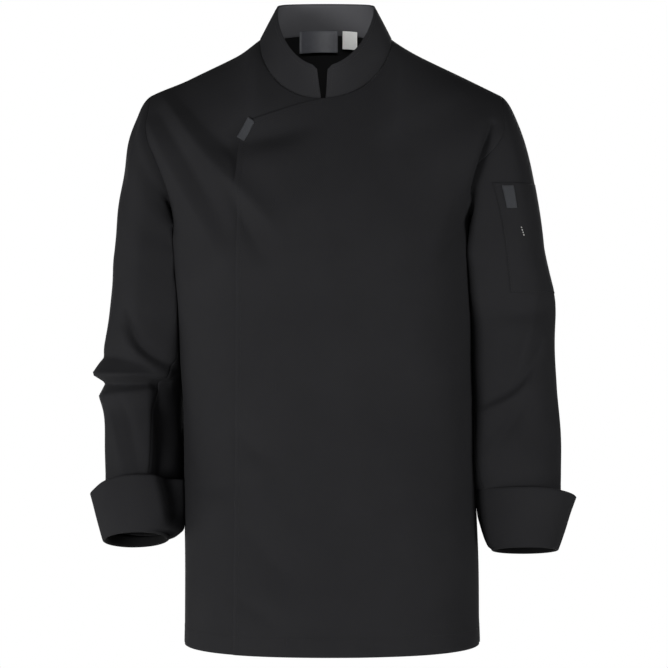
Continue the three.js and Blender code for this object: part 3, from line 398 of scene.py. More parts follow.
# A body panel between two edges, from the hem up. On the fronts the rows run straight as seen from in front, and
# follow the shoulder seam more towards the top.
def bodyPanel(side, inner, outer, columns, lift, panel=None, top=None):
    t = np.linspace(0, 1, columns + 1)
    angle = mix(inner[:, None, 0], outer[:, None, 0], t[None])
    level = mix(inner[:, None, 1], outer[:, None, 1], t[None])
    rows = len(inner)
    if top is None:
        ends = [bodyPoint(side, edge[:, 0], edge[:, 1])[:, None, 2] for edge in (inner, outer)]
        straight = locate(side, bodyPoint(side, angle, level)[..., 0], mix(*ends, t[None]))[1]
        follow = ease((np.arange(rows) - neckRow) / (rows - 1 - neckRow))[:, None]
        level = mix(straight, level, follow)
    else:
        f = np.clip((np.arange(rows) - steps["low"]) / (rows - 1 - steps["low"]), 0, 1)[:, None]
        angle = angle + f * (top[:, 0] - mix(inner[-1, 0], outer[-1, 0], t))
        level = np.where(level > 0, level * top[:, 1] / mix(inner[-1, 1], outer[-1, 1], t), level)
    flat = bodyPoint(side, angle, level)
    p, n = bodyCloth(side, angle, level, lift(flat[..., 0], level), panel)
    return {"p": p, "n": facing(gridNormals(p), n), "uv": clothPlace(angle, level), "angle": angle, "level": level}


def armholeGap(rows):
    i = np.arange(rows)
    s = np.clip((i - steps["low"]) / steps["armhole"], 0, 1)
    return np.where(i < steps["low"], 0.2, 0.05 + 0.4 * (1 - s) ** 0.5)


def finishFront(grid):
    p, rows = grid["p"], len(grid["p"])
    drawBack(p[:, -1], p[:, -2], armholeGap(rows))
    drawBack(p[:, 0], p[:, 1], np.where(np.arange(rows) > neckRow, 0.8, 0.0))
    drawBack(p[-1], p[-2], np.full(p.shape[1], 0.2))
    return grid


def leftFront():
    def lift(x, w):
        over = 1 - ease((x - closing["fullBelow"]) / (closing["noneAbove"] - closing["fullBelow"]))
        return closing["lift"] * over * (1 - ease((w - 0.33) / 0.5))
    return finishFront(bodyPanel(-1, leftFrontEdge(), outerEdge(-1, 1), steps["leftFront"], lift, "left"))


def rightFront():
    flat = lambda x, w: 0 * x
    return finishFront(bodyPanel(-1, rightFrontEdge(), outerEdge(-1, -1), steps["rightFront"], flat, "right"))


def backPanel():
    first, last = outerEdge(1, -1), outerEdge(1, 1)
    columns = 2 * (steps["shoulder"] + steps["neckline"])
    tip, neck = abs(first[-1, 0]), abs(locate(1, body["neckHalfWidth"], shoulderHeight(body["neckHalfWidth"]))[0])
    t = np.linspace(-1, 1, columns + 1)
    neckShare = steps["neckline"] / (steps["neckline"] + steps["shoulder"])
    out = np.abs(t) > neckShare
    s = (np.abs(t) - neckShare) / (1 - neckShare)
    angle, level = necklinePlace(1, np.sign(t) * np.minimum(np.abs(t) / neckShare, 1) * np.pi / 2)
    top = np.stack([np.where(out, np.sign(t) * mix(neck, tip, s), angle), np.where(out, 1, level)], -1)
    flare = lambda x, w: np.where(x > 0, 1.5, 1.0) * ease((-w - 0.9) / 0.1) * ease((np.abs(x) - 120) / 60)
    grid = bodyPanel(1, first, last, columns, flare, top=top)
    p = grid["p"]
    drawBack(p[:, 0], p[:, 1], armholeGap(len(p)))
    drawBack(p[:, -1], p[:, -2], armholeGap(len(p)))
    drawBack(p[-1], p[-2], np.full(p.shape[1], 0.6))
    return grid


# Sleeves
def clearOfBody(arm, p, margin):
    w = np.clip((p[..., 2] - body["underarm"]) / (body["underarm"] - body["hem"]), -1, 0)
    front = oval(-1, w)
    back = oval(1, w)
    depth = np.where(p[..., 1] < 0, front[2], back[2])
    share = np.clip(np.abs(p[..., 1]) / depth, 0, 1)
    bodySide = arm["side"] * front[1] + front[3] * (1 - share ** body["roundness"]) ** (1 / body["roundness"])
    now = arm["side"] * p[..., 0]
    over = now - (bodySide + margin)
    pushed = bodySide + margin + (over + np.sqrt(over * over + 1)) / 2
    weight = ease((body["underarm"] - p[..., 2]) / 5)
    out = p.copy()
    out[..., 0] = arm["side"] * mix(now, np.maximum(now, pushed), weight)
    return out


def middleOf(arm, z):
    return np.stack([arm["side"] * column(arm, z, "x"), column(arm, z, "y"), z], -1)


def unit(v):
    return v / np.maximum(np.linalg.norm(v, axis=-1, keepdims=True), 1e-9)


def armAxes(arm, z):
    low, high = np.maximum(z - 4, arm["z"][-1]), np.minimum(z + 4, sleeve["start"])
    down = unit(middleOf(arm, low) - middleOf(arm, high))
    out = np.array([arm["side"], 0, 0])
    across = unit(out - down * arm["side"] * down[..., :1])
    forward = np.cross(across, down)
    forward = np.where(forward[..., 1:2] > 0, -forward, forward)
    return down, across, unit(forward)


def sleeveRing(arm, turn, z):
    _, across, forward = armAxes(arm, z)
    c, s = np.cos(turn), np.sin(turn)
    square = column(arm, z, "square")
    full = (np.abs(c) ** square + np.abs(s) ** square) ** (-1 / square)
    full = np.where((c < 0) & (s > 0), full, 1)
    behind = sleeve["tuck"] * np.maximum(-c, 0) * np.maximum(-s, 0) * 2
    behind = behind * ease((z - arm["z"][-1] - sleeve["tuckClear"]) / 60)
    behind = behind + column(arm, z, "inward") * np.maximum(-c, 0)
    behind = behind + column(arm, z, "hug") * ease(-c / 0.7) * ease((s + 0.25) / 0.5)
    sink = column(arm, z, "sink") * ease((-c - 0.2) / 0.22) * ease((s + 0.5) / 0.5)
    return (middleOf(arm, z)
            + across * ((column(arm, z, "across") - cloth["wall"] / 2) * c * full - behind)[..., None]
            + forward * ((column(arm, z, "deep") - cloth["wall"] / 2) * s * full - sink)[..., None])


capLevels = {name: {side: evenLevels(side, arms[name]["side"], 360) for side in (-1, 1)} for name in arms}


def armholePoint(name, turn):
    arm = arms[name]
    degrees = (np.degrees(turn) + 180) % 360 - 180
    at = np.clip(180 - np.abs(degrees), 0, 180)
    out = np.zeros(turn.shape + (3,))
    for side in (-1, 1):
        w = np.interp(at, np.linspace(0, 180, 361), capLevels[name][side])
        p, _ = bodyCloth(side, arm["side"] * armholeAngle(w), w, panel=name if side < 0 else None)
        here = degrees >= 0 if side < 0 else degrees < 0
        out[here] = p[here]
    return out


# part runs 0 to 1 from the armhole to the top of the arm, and 1 to 2 down to the sleeve's end
def sleevePoint(name, turn, part):
    arm = arms[name]
    turn, part = np.broadcast_arrays(turn, part)
    z = mix(sleeve["start"], arm["z"][-1], np.clip(part - 1, 0, 1))
    low = sleeveRing(arm, turn, z)
    start = armholePoint(name, turn)
    top = sleeveRing(arm, turn, np.full(turn.shape, sleeve["start"]))
    chord = np.linalg.norm(top - start, axis=-1, keepdims=True)
    leave = unit(np.stack([np.full(turn.shape, float(arm["side"])), -0.16 * np.sin(turn), -0.3 * (1 + np.cos(turn))], -1))
    leave = leave * (0.47 * chord + (15 * (1 - np.cos(turn)) * (1 - ease(np.sin(turn) / 0.5)))[..., None])
    arrive = armAxes(arm, np.full(turn.shape, sleeve["start"]))[0] * chord
    t = np.clip(part, 0, 1)[..., None]
    cap = ((2 * t**3 - 3 * t**2 + 1) * start + (t**3 - 2 * t**2 + t) * leave
           + (3 * t**2 - 2 * t**3) * top + (t**3 - t**2) * arrive)
    return clearOfBody(arm, np.where(part[..., None] < 1, cap, low), cloth["wall"] + sleeve["clearance"])


def sleeveGrid(name, turns, parts):  # turns is rows by columns of radians, parts a value for each row
    arm = arms[name]
    part = np.broadcast_to(parts[:, None], turns.shape)
    p = sleevePoint(name, turns, part)
    e = 0.01
    du = sleevePoint(name, turns + e, part) - sleevePoint(name, turns - e, part)
    dv = sleevePoint(name, turns, np.minimum(part + e, 2)) - sleevePoint(name, turns, np.maximum(part - e, 0))
    n = unit(np.cross(du, dv)) * arm["side"]
    degrees = np.degrees(turns)
    total = np.zeros(turns.shape)
    for wrap in (-360, 0, 360):
        total += creaseSum(sleeveCreases, name, (degrees + wrap) * 0.95, p[..., 2], 0.95)
    total *= ease((p[..., 2] - arm["z"][-1] - 20) / 30)
    away = ease((np.cos(turns) + 0.95) / 0.35)
    length = np.where(parts < 1, parts * 190, 190 + (parts - 1) * 357)
    soft = waves(degrees * 0.95, -length[:, None], 21 if name == "left" else 22, 90, 0.9) * away
    soft *= ease((p[..., 2] - arm["z"][-1] - 40) / 30) * ease(part / 0.3)
    total = np.where(total > 0, total * away, total * (0.35 + 0.65 * away))
    p = p + n * (total * ease(part / 0.2) + soft)[..., None]
    uv = np.stack([degrees * 0.95, np.broadcast_to(-length[:, None], turns.shape)], -1)
    return {"p": p, "n": facing(gridNormals(p), n), "uv": uv, "turn": degrees, "part": part}


sleeveParts = np.concatenate([np.linspace(0, 1, 46, endpoint=False), np.linspace(1, 2, 110)])


def sleevePanel(name, upper):
    arm = arms[name]
    front = column(arm, mix(sleeve["start"], arm["z"][-1], np.maximum(sleeveParts - 1, 0)), "seam")[:, None]
    back = mix(arm["backTop"], arm["backCuff"], ease(sleeveParts / 2))[:, None]
    t = np.linspace(0, 1, (73 if upper else 55))[None]
    turns = np.radians(mix(back - 360, front, t) if upper else mix(front, back, t))
    grid = sleeveGrid(name, turns, sleeveParts)
    p = grid["p"]
    drawBack(p[:, 0], p[:, 1], np.full(len(p), 0.05))
    drawBack(p[:, -1], p[:, -2], np.full(len(p), 0.05))
    drawBack(p[0], p[1], 0.05 + 0.3 * ((1 - np.cos(turns[0])) / 2) ** 0.8)
    drawBack(p[-1], p[-2], np.full(p.shape[1], sleeve["cuffSeam"]))
    return grid


def cuffGrid(name):
    arm = arms[name]
    c = arm["cuff"]
    lean = math.radians(c["tilt"])
    up = np.array([0, math.sin(lean), math.cos(lean)])
    forward = np.array([0, -math.cos(lean), math.sin(lean)])
    across = np.array([arm["side"], 0, 0])
    roll = sleeve["cuffRoll"]
    bend = np.linspace(0, np.pi, 9)
    tallSteps = np.linspace(0, 1, 24)[1:]
    rise = np.concatenate([np.linspace(c["turn"], roll, 5)[:-1], roll - roll * np.sin(bend), mix(roll, c["tall"], tallSteps)])
    inset = np.concatenate([np.full(4, 2 * roll), roll + roll * np.cos(bend), 0 * tallSteps])
    share = np.concatenate([np.zeros(4 + len(bend)), tallSteps])
    drop = c["outerDrop"] * np.concatenate([np.zeros(4), np.linspace(0, 1, len(bend)), 1 - tallSteps])[:, None]
    turn = np.linspace(0, 2 * np.pi, 120, endpoint=False)[None]
    rise, inset, share = rise[:, None], inset[:, None], share[:, None]
    middle = np.array([arm["side"] * c["x"], c["y"], c["z"]]) + across * (c["edgeShift"] * share)[..., None]
    outside = np.cos(turn)
    middle = middle + up * (rise - c["droop"] * share * np.maximum(outside, 0) ** 2 - drop * outside)[..., None]
    middle = middle - up * (c["frontDrop"] * share * np.maximum(np.sin(turn), 0) ** 2)[..., None]
    spread = share ** mix(0.95, 0.5, ease((1 - outside) / 2))
    reach = [mix(c["hem"][k], c["edge"][k], spread) - cloth["wall"] / 2 - inset for k in (0, 1)]
    reach[0] = reach[0] + c["inward"] * ease(-outside) * share ** c["fullness"]
    soft = waves(np.degrees(turn) * 1.0, rise, 31 if name == "left" else 35, 70, 0.7) * share
    p = middle + across * ((reach[0] + soft) * np.cos(turn))[..., None] + forward * ((reach[1] + soft) * np.sin(turn))[..., None]
    sink = c["sink"] * ease((-outside - mix(0.66, 0.38, share)) / 0.2) * ease((np.sin(turn) + 0.5) / 0.5)
    p = p - forward * (sink * ease(share / 0.4))[..., None]
    p = clearOfBody(arm, p, cloth["wall"] + sleeve["clearance"] + np.broadcast_to(inset, p.shape[:2]))
    n = gridNormals(p, closed=True)
    away = across * np.cos(turn)[..., None] + forward * np.sin(turn)[..., None]
    n = n if np.sum(n[-1] * away[0]) > 0 else -n
    run = np.concatenate([[0], np.cumsum(np.linalg.norm(np.diff(p[:, 30], axis=0), axis=1))])
    u = np.broadcast_to(np.degrees(turn) * 0.95, p.shape[:2])
    place = np.stack([u, np.broadcast_to(run[:, None], u.shape)], -1)
    # The cuff's first 8 rows, turned in at its opening, also take the darker twill: painted shade inside the opening
    return {"p": p, "n": n, "uv": place, "closed": 342.0, "paintedShadeRows": 8}


# Collar: turn is 0 at the centre front and 180 degrees at the centre back, tall 0 at its seam and 1 at its top
def collarPoint(turn, tall):
    turn, tall = np.broadcast_arrays(turn, tall)
    back = np.cos(turn) < 0
    s, c = np.sin(turn), np.abs(np.cos(turn))
    k = collar
    seams = {side: bodyCloth(side, *necklinePlace(side, np.arcsin(np.clip(s, -1, 1))))[0] for side in (-1, 1)}
    base = np.where(back[..., None], seams[1], seams[-1])
    top = np.stack([
        k["topHalfWidth"] * np.where(back, signedPower(s, 0.82), s) + np.where(back, 0, body["centreFrontShift"] * 1.4 * c),
        mix(k["topMiddleY"], np.where(back, k["topBackY"], k["topFrontY"]), c),
        np.where(back, mix(k["topSideZ"], k["topBackZ"], c**0.5), mix(k["topSideZ"], k["topFrontZ"], c**1.2)),
    ], -1)
    away = unit(np.stack([s, np.where(back, c, -c), 0 * s], -1))
    return mix(base, top, tall[..., None]) + away * (k["bulge"] * np.sin(np.pi * tall))[..., None]


def collarGrid(offset, low, high):
    k = collar
    tall = np.linspace(low, high, 17)[:, None]
    t = np.linspace(0, 1, 181)[None]
    gap = np.radians(mix(k["gapBase"], k["gapTop"], np.maximum(tall, 0)))
    turn = mix(gap, 2 * np.pi - gap, t)
    fromEnd = np.minimum(turn - gap, 2 * np.pi - gap - turn) * 80  # millimetres from the collar's end
    rounded = k["corner"] * (1 - ease(fromEnd / 9)) ** 2 * np.maximum(tall, 0) ** 3
    tall = np.broadcast_to(tall, turn.shape) - rounded
    p = collarPoint(turn, tall)
    n = facing(gridNormals(p), np.stack([np.sin(turn), -np.cos(turn), 0 * turn], -1))
    p = p + n * offset
    return {"p": p, "n": n, "uv": np.stack([np.degrees(turn) * 1.35, tall * 42], -1)}


def labelGrid(left, right, tall, bend):
    x = np.linspace(left, right, 15)[None]
    drop = np.linspace(-1, tall, 13)[:, None]
    turn = np.pi - np.arcsin(x / body["neckHalfWidth"])
    seam, above = collarPoint(turn, np.full(turn.shape, 0.06)), collarPoint(turn, np.full(turn.shape, 0.16))
    lean = unit(above - seam) * np.maximum(-drop, 0)[..., None]
    inside = cloth["collarWall"] + cloth["seamGap"] * 1.5 + cloth["trimWall"] / 2 + 1.3
    down = np.maximum(drop, 0)
    hang = np.stack([0 * down, -inside - bend * (down / tall) ** 2, -down], -1)
    p = seam + lean + np.broadcast_to(hang, (13, 1, 3))
    n = facing(gridNormals(p), np.array([0, -1, 0]))
    return {"p": p, "n": n, "uv": np.stack(np.broadcast_arrays(x, -drop), -1)}


# Making meshes
# How far each point of a grid is from the piece's pressed edges, in millimetres, for the twill's painted highlight
# along them
def edgeDistance(grid):
    p = grid["p"]
    down = np.concatenate([np.zeros((1, p.shape[1])), np.cumsum(np.linalg.norm(np.diff(p, axis=0), axis=-1), 0)])
    along = np.concatenate([np.zeros((len(p), 1)), np.cumsum(np.linalg.norm(np.diff(p, axis=1), axis=-1), 1)], 1)
    from_ = {"top": down, "bottom": down[-1:] - down, "start": along, "end": along[:, -1:] - along}
    nearest = np.full(p.shape[:2], 50.0)
    for edge in grid.get("paintedEdgeHighlight", ()):
        nearest = np.minimum(nearest, from_[edge])
    return nearest.ravel()


# A closed wall through a grid's middle points, with a softly rounded edge
def shell(grid, thick):
    p, n, uv = grid["p"], grid["n"], grid["uv"]
    rows, cols = p.shape[:2]
    closed = "closed" in grid
    outer, inner = p + n * thick / 2, p - n * thick / 2
    verts = [outer.reshape(-1, 3), inner.reshape(-1, 3)]
    i, j = np.meshgrid(np.arange(rows - 1), np.arange(cols if closed else cols - 1), indexing="ij")
    i, j = i.ravel(), j.ravel()
    corners = [(i, j), (i, j + 1), (i + 1, j + 1), (i + 1, j)]
    at = lambda a, b: a * cols + b % cols
    quads = np.stack([at(a, b) for a, b in corners], -1)
    wide = np.concatenate([uv, uv[:, :1] + [grid.get("closed", 0), 0]], 1)
    quadUv = np.stack([wide[a, b] for a, b in corners], 1)
    q = p.reshape(-1, 3)
    turn = np.cross(q[quads[:, 1]] - q[quads[:, 0]], q[quads[:, 2]] - q[quads[:, 0]])
    if np.sum(turn * n.reshape(-1, 3)[quads[:, 0]]) < 0:
        quads, quadUv = quads[:, ::-1], quadUv[:, ::-1]
        flipped = True
    else:
        flipped = False
    faces = [quads, quads[:, ::-1] + rows * cols]
    uvs = [quadUv, quadUv[:, ::-1]]
    k = np.arange
    if closed:
        loops = [at(np.zeros(cols, int), k(cols)), at(np.full(cols, rows - 1), k(cols))[::-1]]
    else:
        loops = [np.concatenate([at(np.zeros(cols, int), k(cols))[:-1], at(k(rows), np.full(rows, cols - 1))[:-1],
                                 at(np.full(cols, rows - 1), k(cols))[::-1][:-1], at(k(rows), np.zeros(rows, int))[::-1][:-1]])]
    count = 2 * rows * cols
    flatUv = uv.reshape(-1, 2)
    for loop in loops:
        around = p.reshape(-1, 3)[loop]
        along = np.roll(around, -1, 0) - np.roll(around, 1, 0)
        out = unit(np.cross(along, n.reshape(-1, 3)[loop]))
        if flipped:
            out = -out
        middle = count + k(len(loop))
        verts.append(around + out * thick * 0.28)
        count += len(loop)
        nextLoop, nextMiddle = np.roll(loop, -1), np.roll(middle, -1)
        upper = np.stack([loop, middle, nextMiddle, nextLoop], -1)
        lower = np.stack([middle, loop + rows * cols, nextLoop + rows * cols, nextMiddle], -1)
        edgeUv = np.stack([flatUv[loop], flatUv[loop], flatUv[nextLoop], flatUv[nextLoop]], 1)
        if flipped:
            upper, lower, edgeUv = upper[:, ::-1], lower[:, ::-1], edgeUv[:, ::-1]
        faces += [upper, lower]
        uvs += [edgeUv, edgeUv]
    near = edgeDistance(grid)
    rim = [near[loop] for loop in loops]
    fromEdge = np.concatenate([near, near] + rim)
    # Inner faces, and the first rows of a grid that asks for it, take the second material: on the cloth this is the
    # darker twill of painted shade
    inside = np.concatenate([np.full(len(part), k == 1) for k, part in enumerate(faces)])
    inside[:grid.get("paintedShadeRows", 0) * cols] = True
    return np.concatenate(verts), np.concatenate(faces), np.concatenate(uvs), fromEdge, inside


def makeMesh(name, verts, faces, uvs, fromEdge, inner, materials, slotName):
    mesh = bpy.data.meshes.new(name)
    mesh.from_pydata((verts / 1000).tolist(), [], faces.tolist())
    layer = mesh.uv_layers.new(name="clothPlace")
    layer.data.foreach_set("uv", (uvs.reshape(-1, 2) / 1000).astype(np.float32).ravel())
    near = mesh.attributes.new("fromEdge", "FLOAT", "POINT")
    near.data.foreach_set("value", fromEdge.astype(np.float32))
    mesh.polygons.foreach_set("use_smooth", np.ones(len(faces), bool))
    for material in materials:
        mesh.materials.append(material)
    mesh.polygons.foreach_set("material_index", inner.astype(np.int32))
    mesh.update()
    piece = bpy.data.objects.new(name, mesh)
    bpy.context.scene.collection.objects.link(piece)
    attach(piece, "root")
    return piece


def area(grid):
    p = grid["p"]
    if "closed" in grid:
        p = np.concatenate([p, p[:, :1]], 1)
    a = np.cross(p[1:, 1:] - p[:-1, :-1], p[1:, :-1] - p[:-1, 1:])
    return float(np.linalg.norm(a, axis=-1).sum() / 2) / 1e6


# Materials
def linear(hexColour):  # an sRGB hex colour as the linear colour that a shader takes
    parts = [int(hexColour[i:i + 2], 16) / 255 for i in (0, 2, 4)]
    return [c / 12.92 if c <= 0.04045 else ((c + 0.055) / 1.055) ** 2.4 for c in parts] + [1.0]


# Adds a node: settings are the node's own properties, values its inputs by name, links (input, output socket)
def addNode(tree, kind, settings=None, values=None, links=()):
    node = tree.nodes.new(kind)
    for name, value in (settings or {}).items():
        setattr(node, name, value)
    for name, value in (values or {}).items():
        node.inputs[name].default_value = value
    for name, socket in links:
        tree.links.new(socket, node.inputs[name])
    return node


def newMaterial(name, hexColour, roughness, sheen, specular):
    material = bpy.data.materials.new(name)
    material.use_nodes = True
    tree = material.node_tree
    shader = tree.nodes["Principled BSDF"]
    shader.inputs["Base Color"].default_value = linear(hexColour)
    shader.inputs["Roughness"].default_value = roughness
    shader.inputs["Sheen Weight"].default_value = sheen
    shader.inputs["Sheen Roughness"].default_value = 0.5
    shader.inputs["Specular IOR Level"].default_value = specular
    return material, tree, shader


def waveScale(spacing):  # the Wave node's scale that puts straight bands this many metres apart
    return 2 * math.pi / (20 * spacing)


# Polyester and cotton twill, piece dyed: a dull charcoal with a fine diagonal line, paler along its pressed edges as a
# painted highlight where light catches the fold.
# The real lines stand 0.6 mm apart, too fine to show in the render, so they are drawn 1.6 mm apart.
twill = {"dark": "212123", "light": "2a2a2c", "paintedEdgeHighlight": "2c2c2f", "spacing": 0.0016, "lineDepth": 0.00012,
         "slub": 900.0, "cloud": 11.0, "edge": 3.0, "roughness": 0.85, "sheen": 0.01, "specular": 0.14}


def twillMaterial(name, dark, light, paintedEdgeHighlight):
    material, tree, shader = newMaterial(name, dark, twill["roughness"], twill["sheen"], twill["specular"])
    uv = addNode(tree, "ShaderNodeUVMap", {"uv_map": "clothPlace"})
    place = addNode(tree, "ShaderNodeTexCoord")
    lines = addNode(tree, "ShaderNodeTexWave", {"bands_direction": "DIAGONAL"},
                    {"Scale": waveScale(twill["spacing"]) * math.sqrt(2), "Distortion": 0.5, "Detail": 1.0},
                    [("Vector", uv.outputs["UV"])])
    slub = addNode(tree, "ShaderNodeTexNoise", {}, {"Scale": twill["slub"], "Detail": 2.0},
                   [("Vector", uv.outputs["UV"])])
    cloud = addNode(tree, "ShaderNodeTexNoise", {}, {"Scale": twill["cloud"], "Detail": 5.0, "Roughness": 0.6},
                    [("Vector", place.outputs["Object"])])
    tone = addNode(tree, "ShaderNodeMath", {"operation": "MULTIPLY_ADD"}, {1: 0.5},
                   [(0, lines.outputs["Fac"]), (2, cloud.outputs["Fac"])])
    grain = addNode(tree, "ShaderNodeMath", {"operation": "MULTIPLY_ADD"}, {1: 0.4, 2: -0.45},
                    [(0, slub.outputs["Fac"])])
    whole = addNode(tree, "ShaderNodeMath", {"operation": "ADD", "use_clamp": True}, {},
                    [(0, tone.outputs[0]), (1, grain.outputs[0])])
    colour = addNode(tree, "ShaderNodeMix", {"data_type": "RGBA"}, {"A": linear(dark), "B": linear(light)},
                     [("Factor", whole.outputs[0])])
    # Paler towards the pressed edges: a painted highlight along the folds
    edge = addNode(tree, "ShaderNodeAttribute", {"attribute_name": "fromEdge"})
    near = addNode(tree, "ShaderNodeMapRange", {}, {"From Min": 0.0, "From Max": twill["edge"], "To Min": 0.15,
                                                    "To Max": 0.0}, [("Value", edge.outputs["Fac"])])
    paintedHighlight = addNode(tree, "ShaderNodeMix", {"data_type": "RGBA"}, {"B": linear(paintedEdgeHighlight)},
                   [("Factor", near.outputs["Result"]), ("A", colour.outputs["Result"])])
    tree.links.new(paintedHighlight.outputs["Result"], shader.inputs["Base Color"])
    height = addNode(tree, "ShaderNodeMath", {"operation": "MULTIPLY_ADD"}, {1: 0.7},
                     [(0, lines.outputs["Fac"]), (2, slub.outputs["Fac"])])
    bump = addNode(tree, "ShaderNodeBump", {}, {"Strength": 0.6, "Distance": twill["lineDepth"]},
                   [("Height", height.outputs[0])])
    tree.links.new(bump.outputs["Normal"], shader.inputs["Normal"])
    return material


# Cotton tape in a herringbone weave: mid grey, in slanting ribs that change direction every 3 mm
tape = {"dark": "2d2e31", "light": "494b4f", "rib": 0.0012, "turn": 0.003, "depth": 0.00015, "roughness": 0.85}


def tapeMaterial(name):
    material, tree, shader = newMaterial(name, tape["dark"], tape["roughness"], 0.1, 0.3)
    uv = addNode(tree, "ShaderNodeUVMap", {"uv_map": "clothPlace"})
    split = addNode(tree, "ShaderNodeSeparateXYZ", links=[("Vector", uv.outputs["UV"])])
    across = addNode(tree, "ShaderNodeMath", {"operation": "PINGPONG"}, {1: tape["turn"]},
                     [(0, split.outputs["X"])])
    slant = addNode(tree, "ShaderNodeMath", {"operation": "ADD"}, {},
                    [(0, across.outputs[0]), (1, split.outputs["Y"])])
    along = addNode(tree, "ShaderNodeCombineXYZ", links=[("X", slant.outputs[0])])
    ribs = addNode(tree, "ShaderNodeTexWave", {"bands_direction": "X"}, {"Scale": waveScale(tape["rib"])},
                   [("Vector", along.outputs["Vector"])])
    colour = addNode(tree, "ShaderNodeMix", {"data_type": "RGBA"},
                     {"A": linear(tape["dark"]), "B": linear(tape["light"])}, [("Factor", ribs.outputs["Fac"])])
    tree.links.new(colour.outputs["Result"], shader.inputs["Base Color"])
    bump = addNode(tree, "ShaderNodeBump", {}, {"Strength": 0.7, "Distance": tape["depth"]},
                   [("Height", ribs.outputs["Fac"])])
    tree.links.new(bump.outputs["Normal"], shader.inputs["Normal"])
    return material


# Woven labels: polyester satin with fine cross threads, smoother than the cloth; the threads are drawn 0.8 mm apart
label = {"thread": 0.0008, "depth": 0.00008}


def labelMaterial(name, dark, light, roughness, specular):
    material, tree, shader = newMaterial(name, dark, roughness, 0.05, specular)
    uv = addNode(tree, "ShaderNodeUVMap", {"uv_map": "clothPlace"})
    threads = addNode(tree, "ShaderNodeTexWave", {"bands_direction": "Y"},
                      {"Scale": waveScale(label["thread"]), "Distortion": 0.4}, [("Vector", uv.outputs["UV"])])
    cloud = addNode(tree, "ShaderNodeTexNoise", {}, {"Scale": 160.0, "Detail": 3.0}, [("Vector", uv.outputs["UV"])])
    tone = addNode(tree, "ShaderNodeMath", {"operation": "MULTIPLY"}, {},
                   [(0, threads.outputs["Fac"]), (1, cloud.outputs["Fac"])])
    colour = addNode(tree, "ShaderNodeMix", {"data_type": "RGBA"}, {"A": linear(dark), "B": linear(light)},
                     [("Factor", tone.outputs[0])])
    tree.links.new(colour.outputs["Result"], shader.inputs["Base Color"])
    bump = addNode(tree, "ShaderNodeBump", {}, {"Strength": 0.5, "Distance": label["depth"]},
                   [("Height", threads.outputs["Fac"])])
    tree.links.new(bump.outputs["Normal"], shader.inputs["Normal"])
    return material


# Core-spun polyester sewing thread: a little glossier and greyer than the cloth, with a twist along it
def threadMaterial(name, dark, light):
    material, tree, shader = newMaterial(name, dark, 0.55, 0.0, 0.35)
    place = addNode(tree, "ShaderNodeTexCoord")
    twist = addNode(tree, "ShaderNodeTexNoise", {}, {"Scale": 700.0, "Detail": 1.0},
                    [("Vector", place.outputs["Object"])])
    colour = addNode(tree, "ShaderNodeMix", {"data_type": "RGBA"}, {"A": linear(dark), "B": linear(light)},
                     [("Factor", twist.outputs["Fac"])])
    tree.links.new(colour.outputs["Result"], shader.inputs["Base Color"])
    return material


jacketTwill = twillMaterial("polycottonTwill", twill["dark"], twill["light"], twill["paintedEdgeHighlight"])
# A darker copy of the same twill for the inner faces of every piece: painted shade inside the jacket
insideTwillPaintedShade = twillMaterial("insideTwillPaintedShade", "0c0c0d", "111112", "111112")
# The collar's facing, drawn a lighter charcoal than the jacket's twill: painted light on the inside of the back of the
# collar
facingTwillPaintedLight = twillMaterial("facingTwillPaintedLight", "464649", "5a5a5d", "5e5e61")
herringbone = tapeMaterial("herringboneTape")
satinLabel = labelMaterial("satinLabel", "3e3f44", "56575d", 0.5, 0.4)
whiteLabel = labelMaterial("whiteLabel", "e2e2e0", "f6f6f4", 0.7, 0.4)
blackThread = threadMaterial("polyesterThread", "1a1a1c", "242426")
whiteThread = threadMaterial("whiteThread", "d8d8d6", "f4f4f2")
print("materials ready")

# The cut of what shows of each piece, in metres and square metres
cuts = {
    "back": {"flat": (0.56, 0.80), "area": 0.363},
    "rightFront": {"flat": (0.31, 0.79), "area": 0.203},
    "leftFront": {"flat": (0.42, 0.79), "area": 0.2605},
    "rightSleeveTop": {"flat": (0.24, 0.56), "area": 0.112},
    "leftSleeveTop": {"flat": (0.27, 0.57), "area": 0.124},
    "rightSleeveUnder": {"flat": (0.16, 0.48), "area": 0.055},
    "leftSleeveUnder": {"flat": (0.16, 0.48), "area": 0.0525},
    "rightCuff": {"flat": (0.33, 0.10), "area": 0.0283},
    "leftCuff": {"flat": (0.34, 0.10), "area": 0.028},
    "collarStand": {"flat": (0.47, 0.05), "area": 0.0195},
    "collarFacing": {"flat": (0.46, 0.05), "area": 0.0203},
    "pocket": {"flat": (0.11, 0.14), "area": 0.0149},
}


# Each piece takes the twill outside and, on its inner faces, the darker twill of painted shade
def clothPiece(name, grid, thick, node, cut, materials=(jacketTwill, insideTwillPaintedShade),
               slotName="jacket_cloth"):
    piece = makeMesh(name, *shell(grid, thick), materials, slotName)
    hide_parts(node)
    print(f"{name}: {area(grid):.4f} m2 of cloth for a cut of {cut['area']:.4f} m2, {len(piece.data.polygons)} faces")
    return piece


# Body
backGrid, leftGrid, rightGrid = backPanel(), leftFront(), rightFront()
# The pressed edges of each panel, which the twill paints paler as a highlight
backGrid["paintedEdgeHighlight"], leftGrid["paintedEdgeHighlight"], rightGrid["paintedEdgeHighlight"] = ["top"], ["top", "start"], ["top"]
backCloth = clothPiece("backPanel", backGrid, cloth["wall"], "back_panel", cuts["back"])
rightCloth = clothPiece("rightFront", rightGrid, cloth["wall"], "right_front_panel", cuts["rightFront"])
leftCloth = clothPiece("leftFront", leftGrid, cloth["wall"], "left_front_panel", cuts["leftFront"])
print("body made")

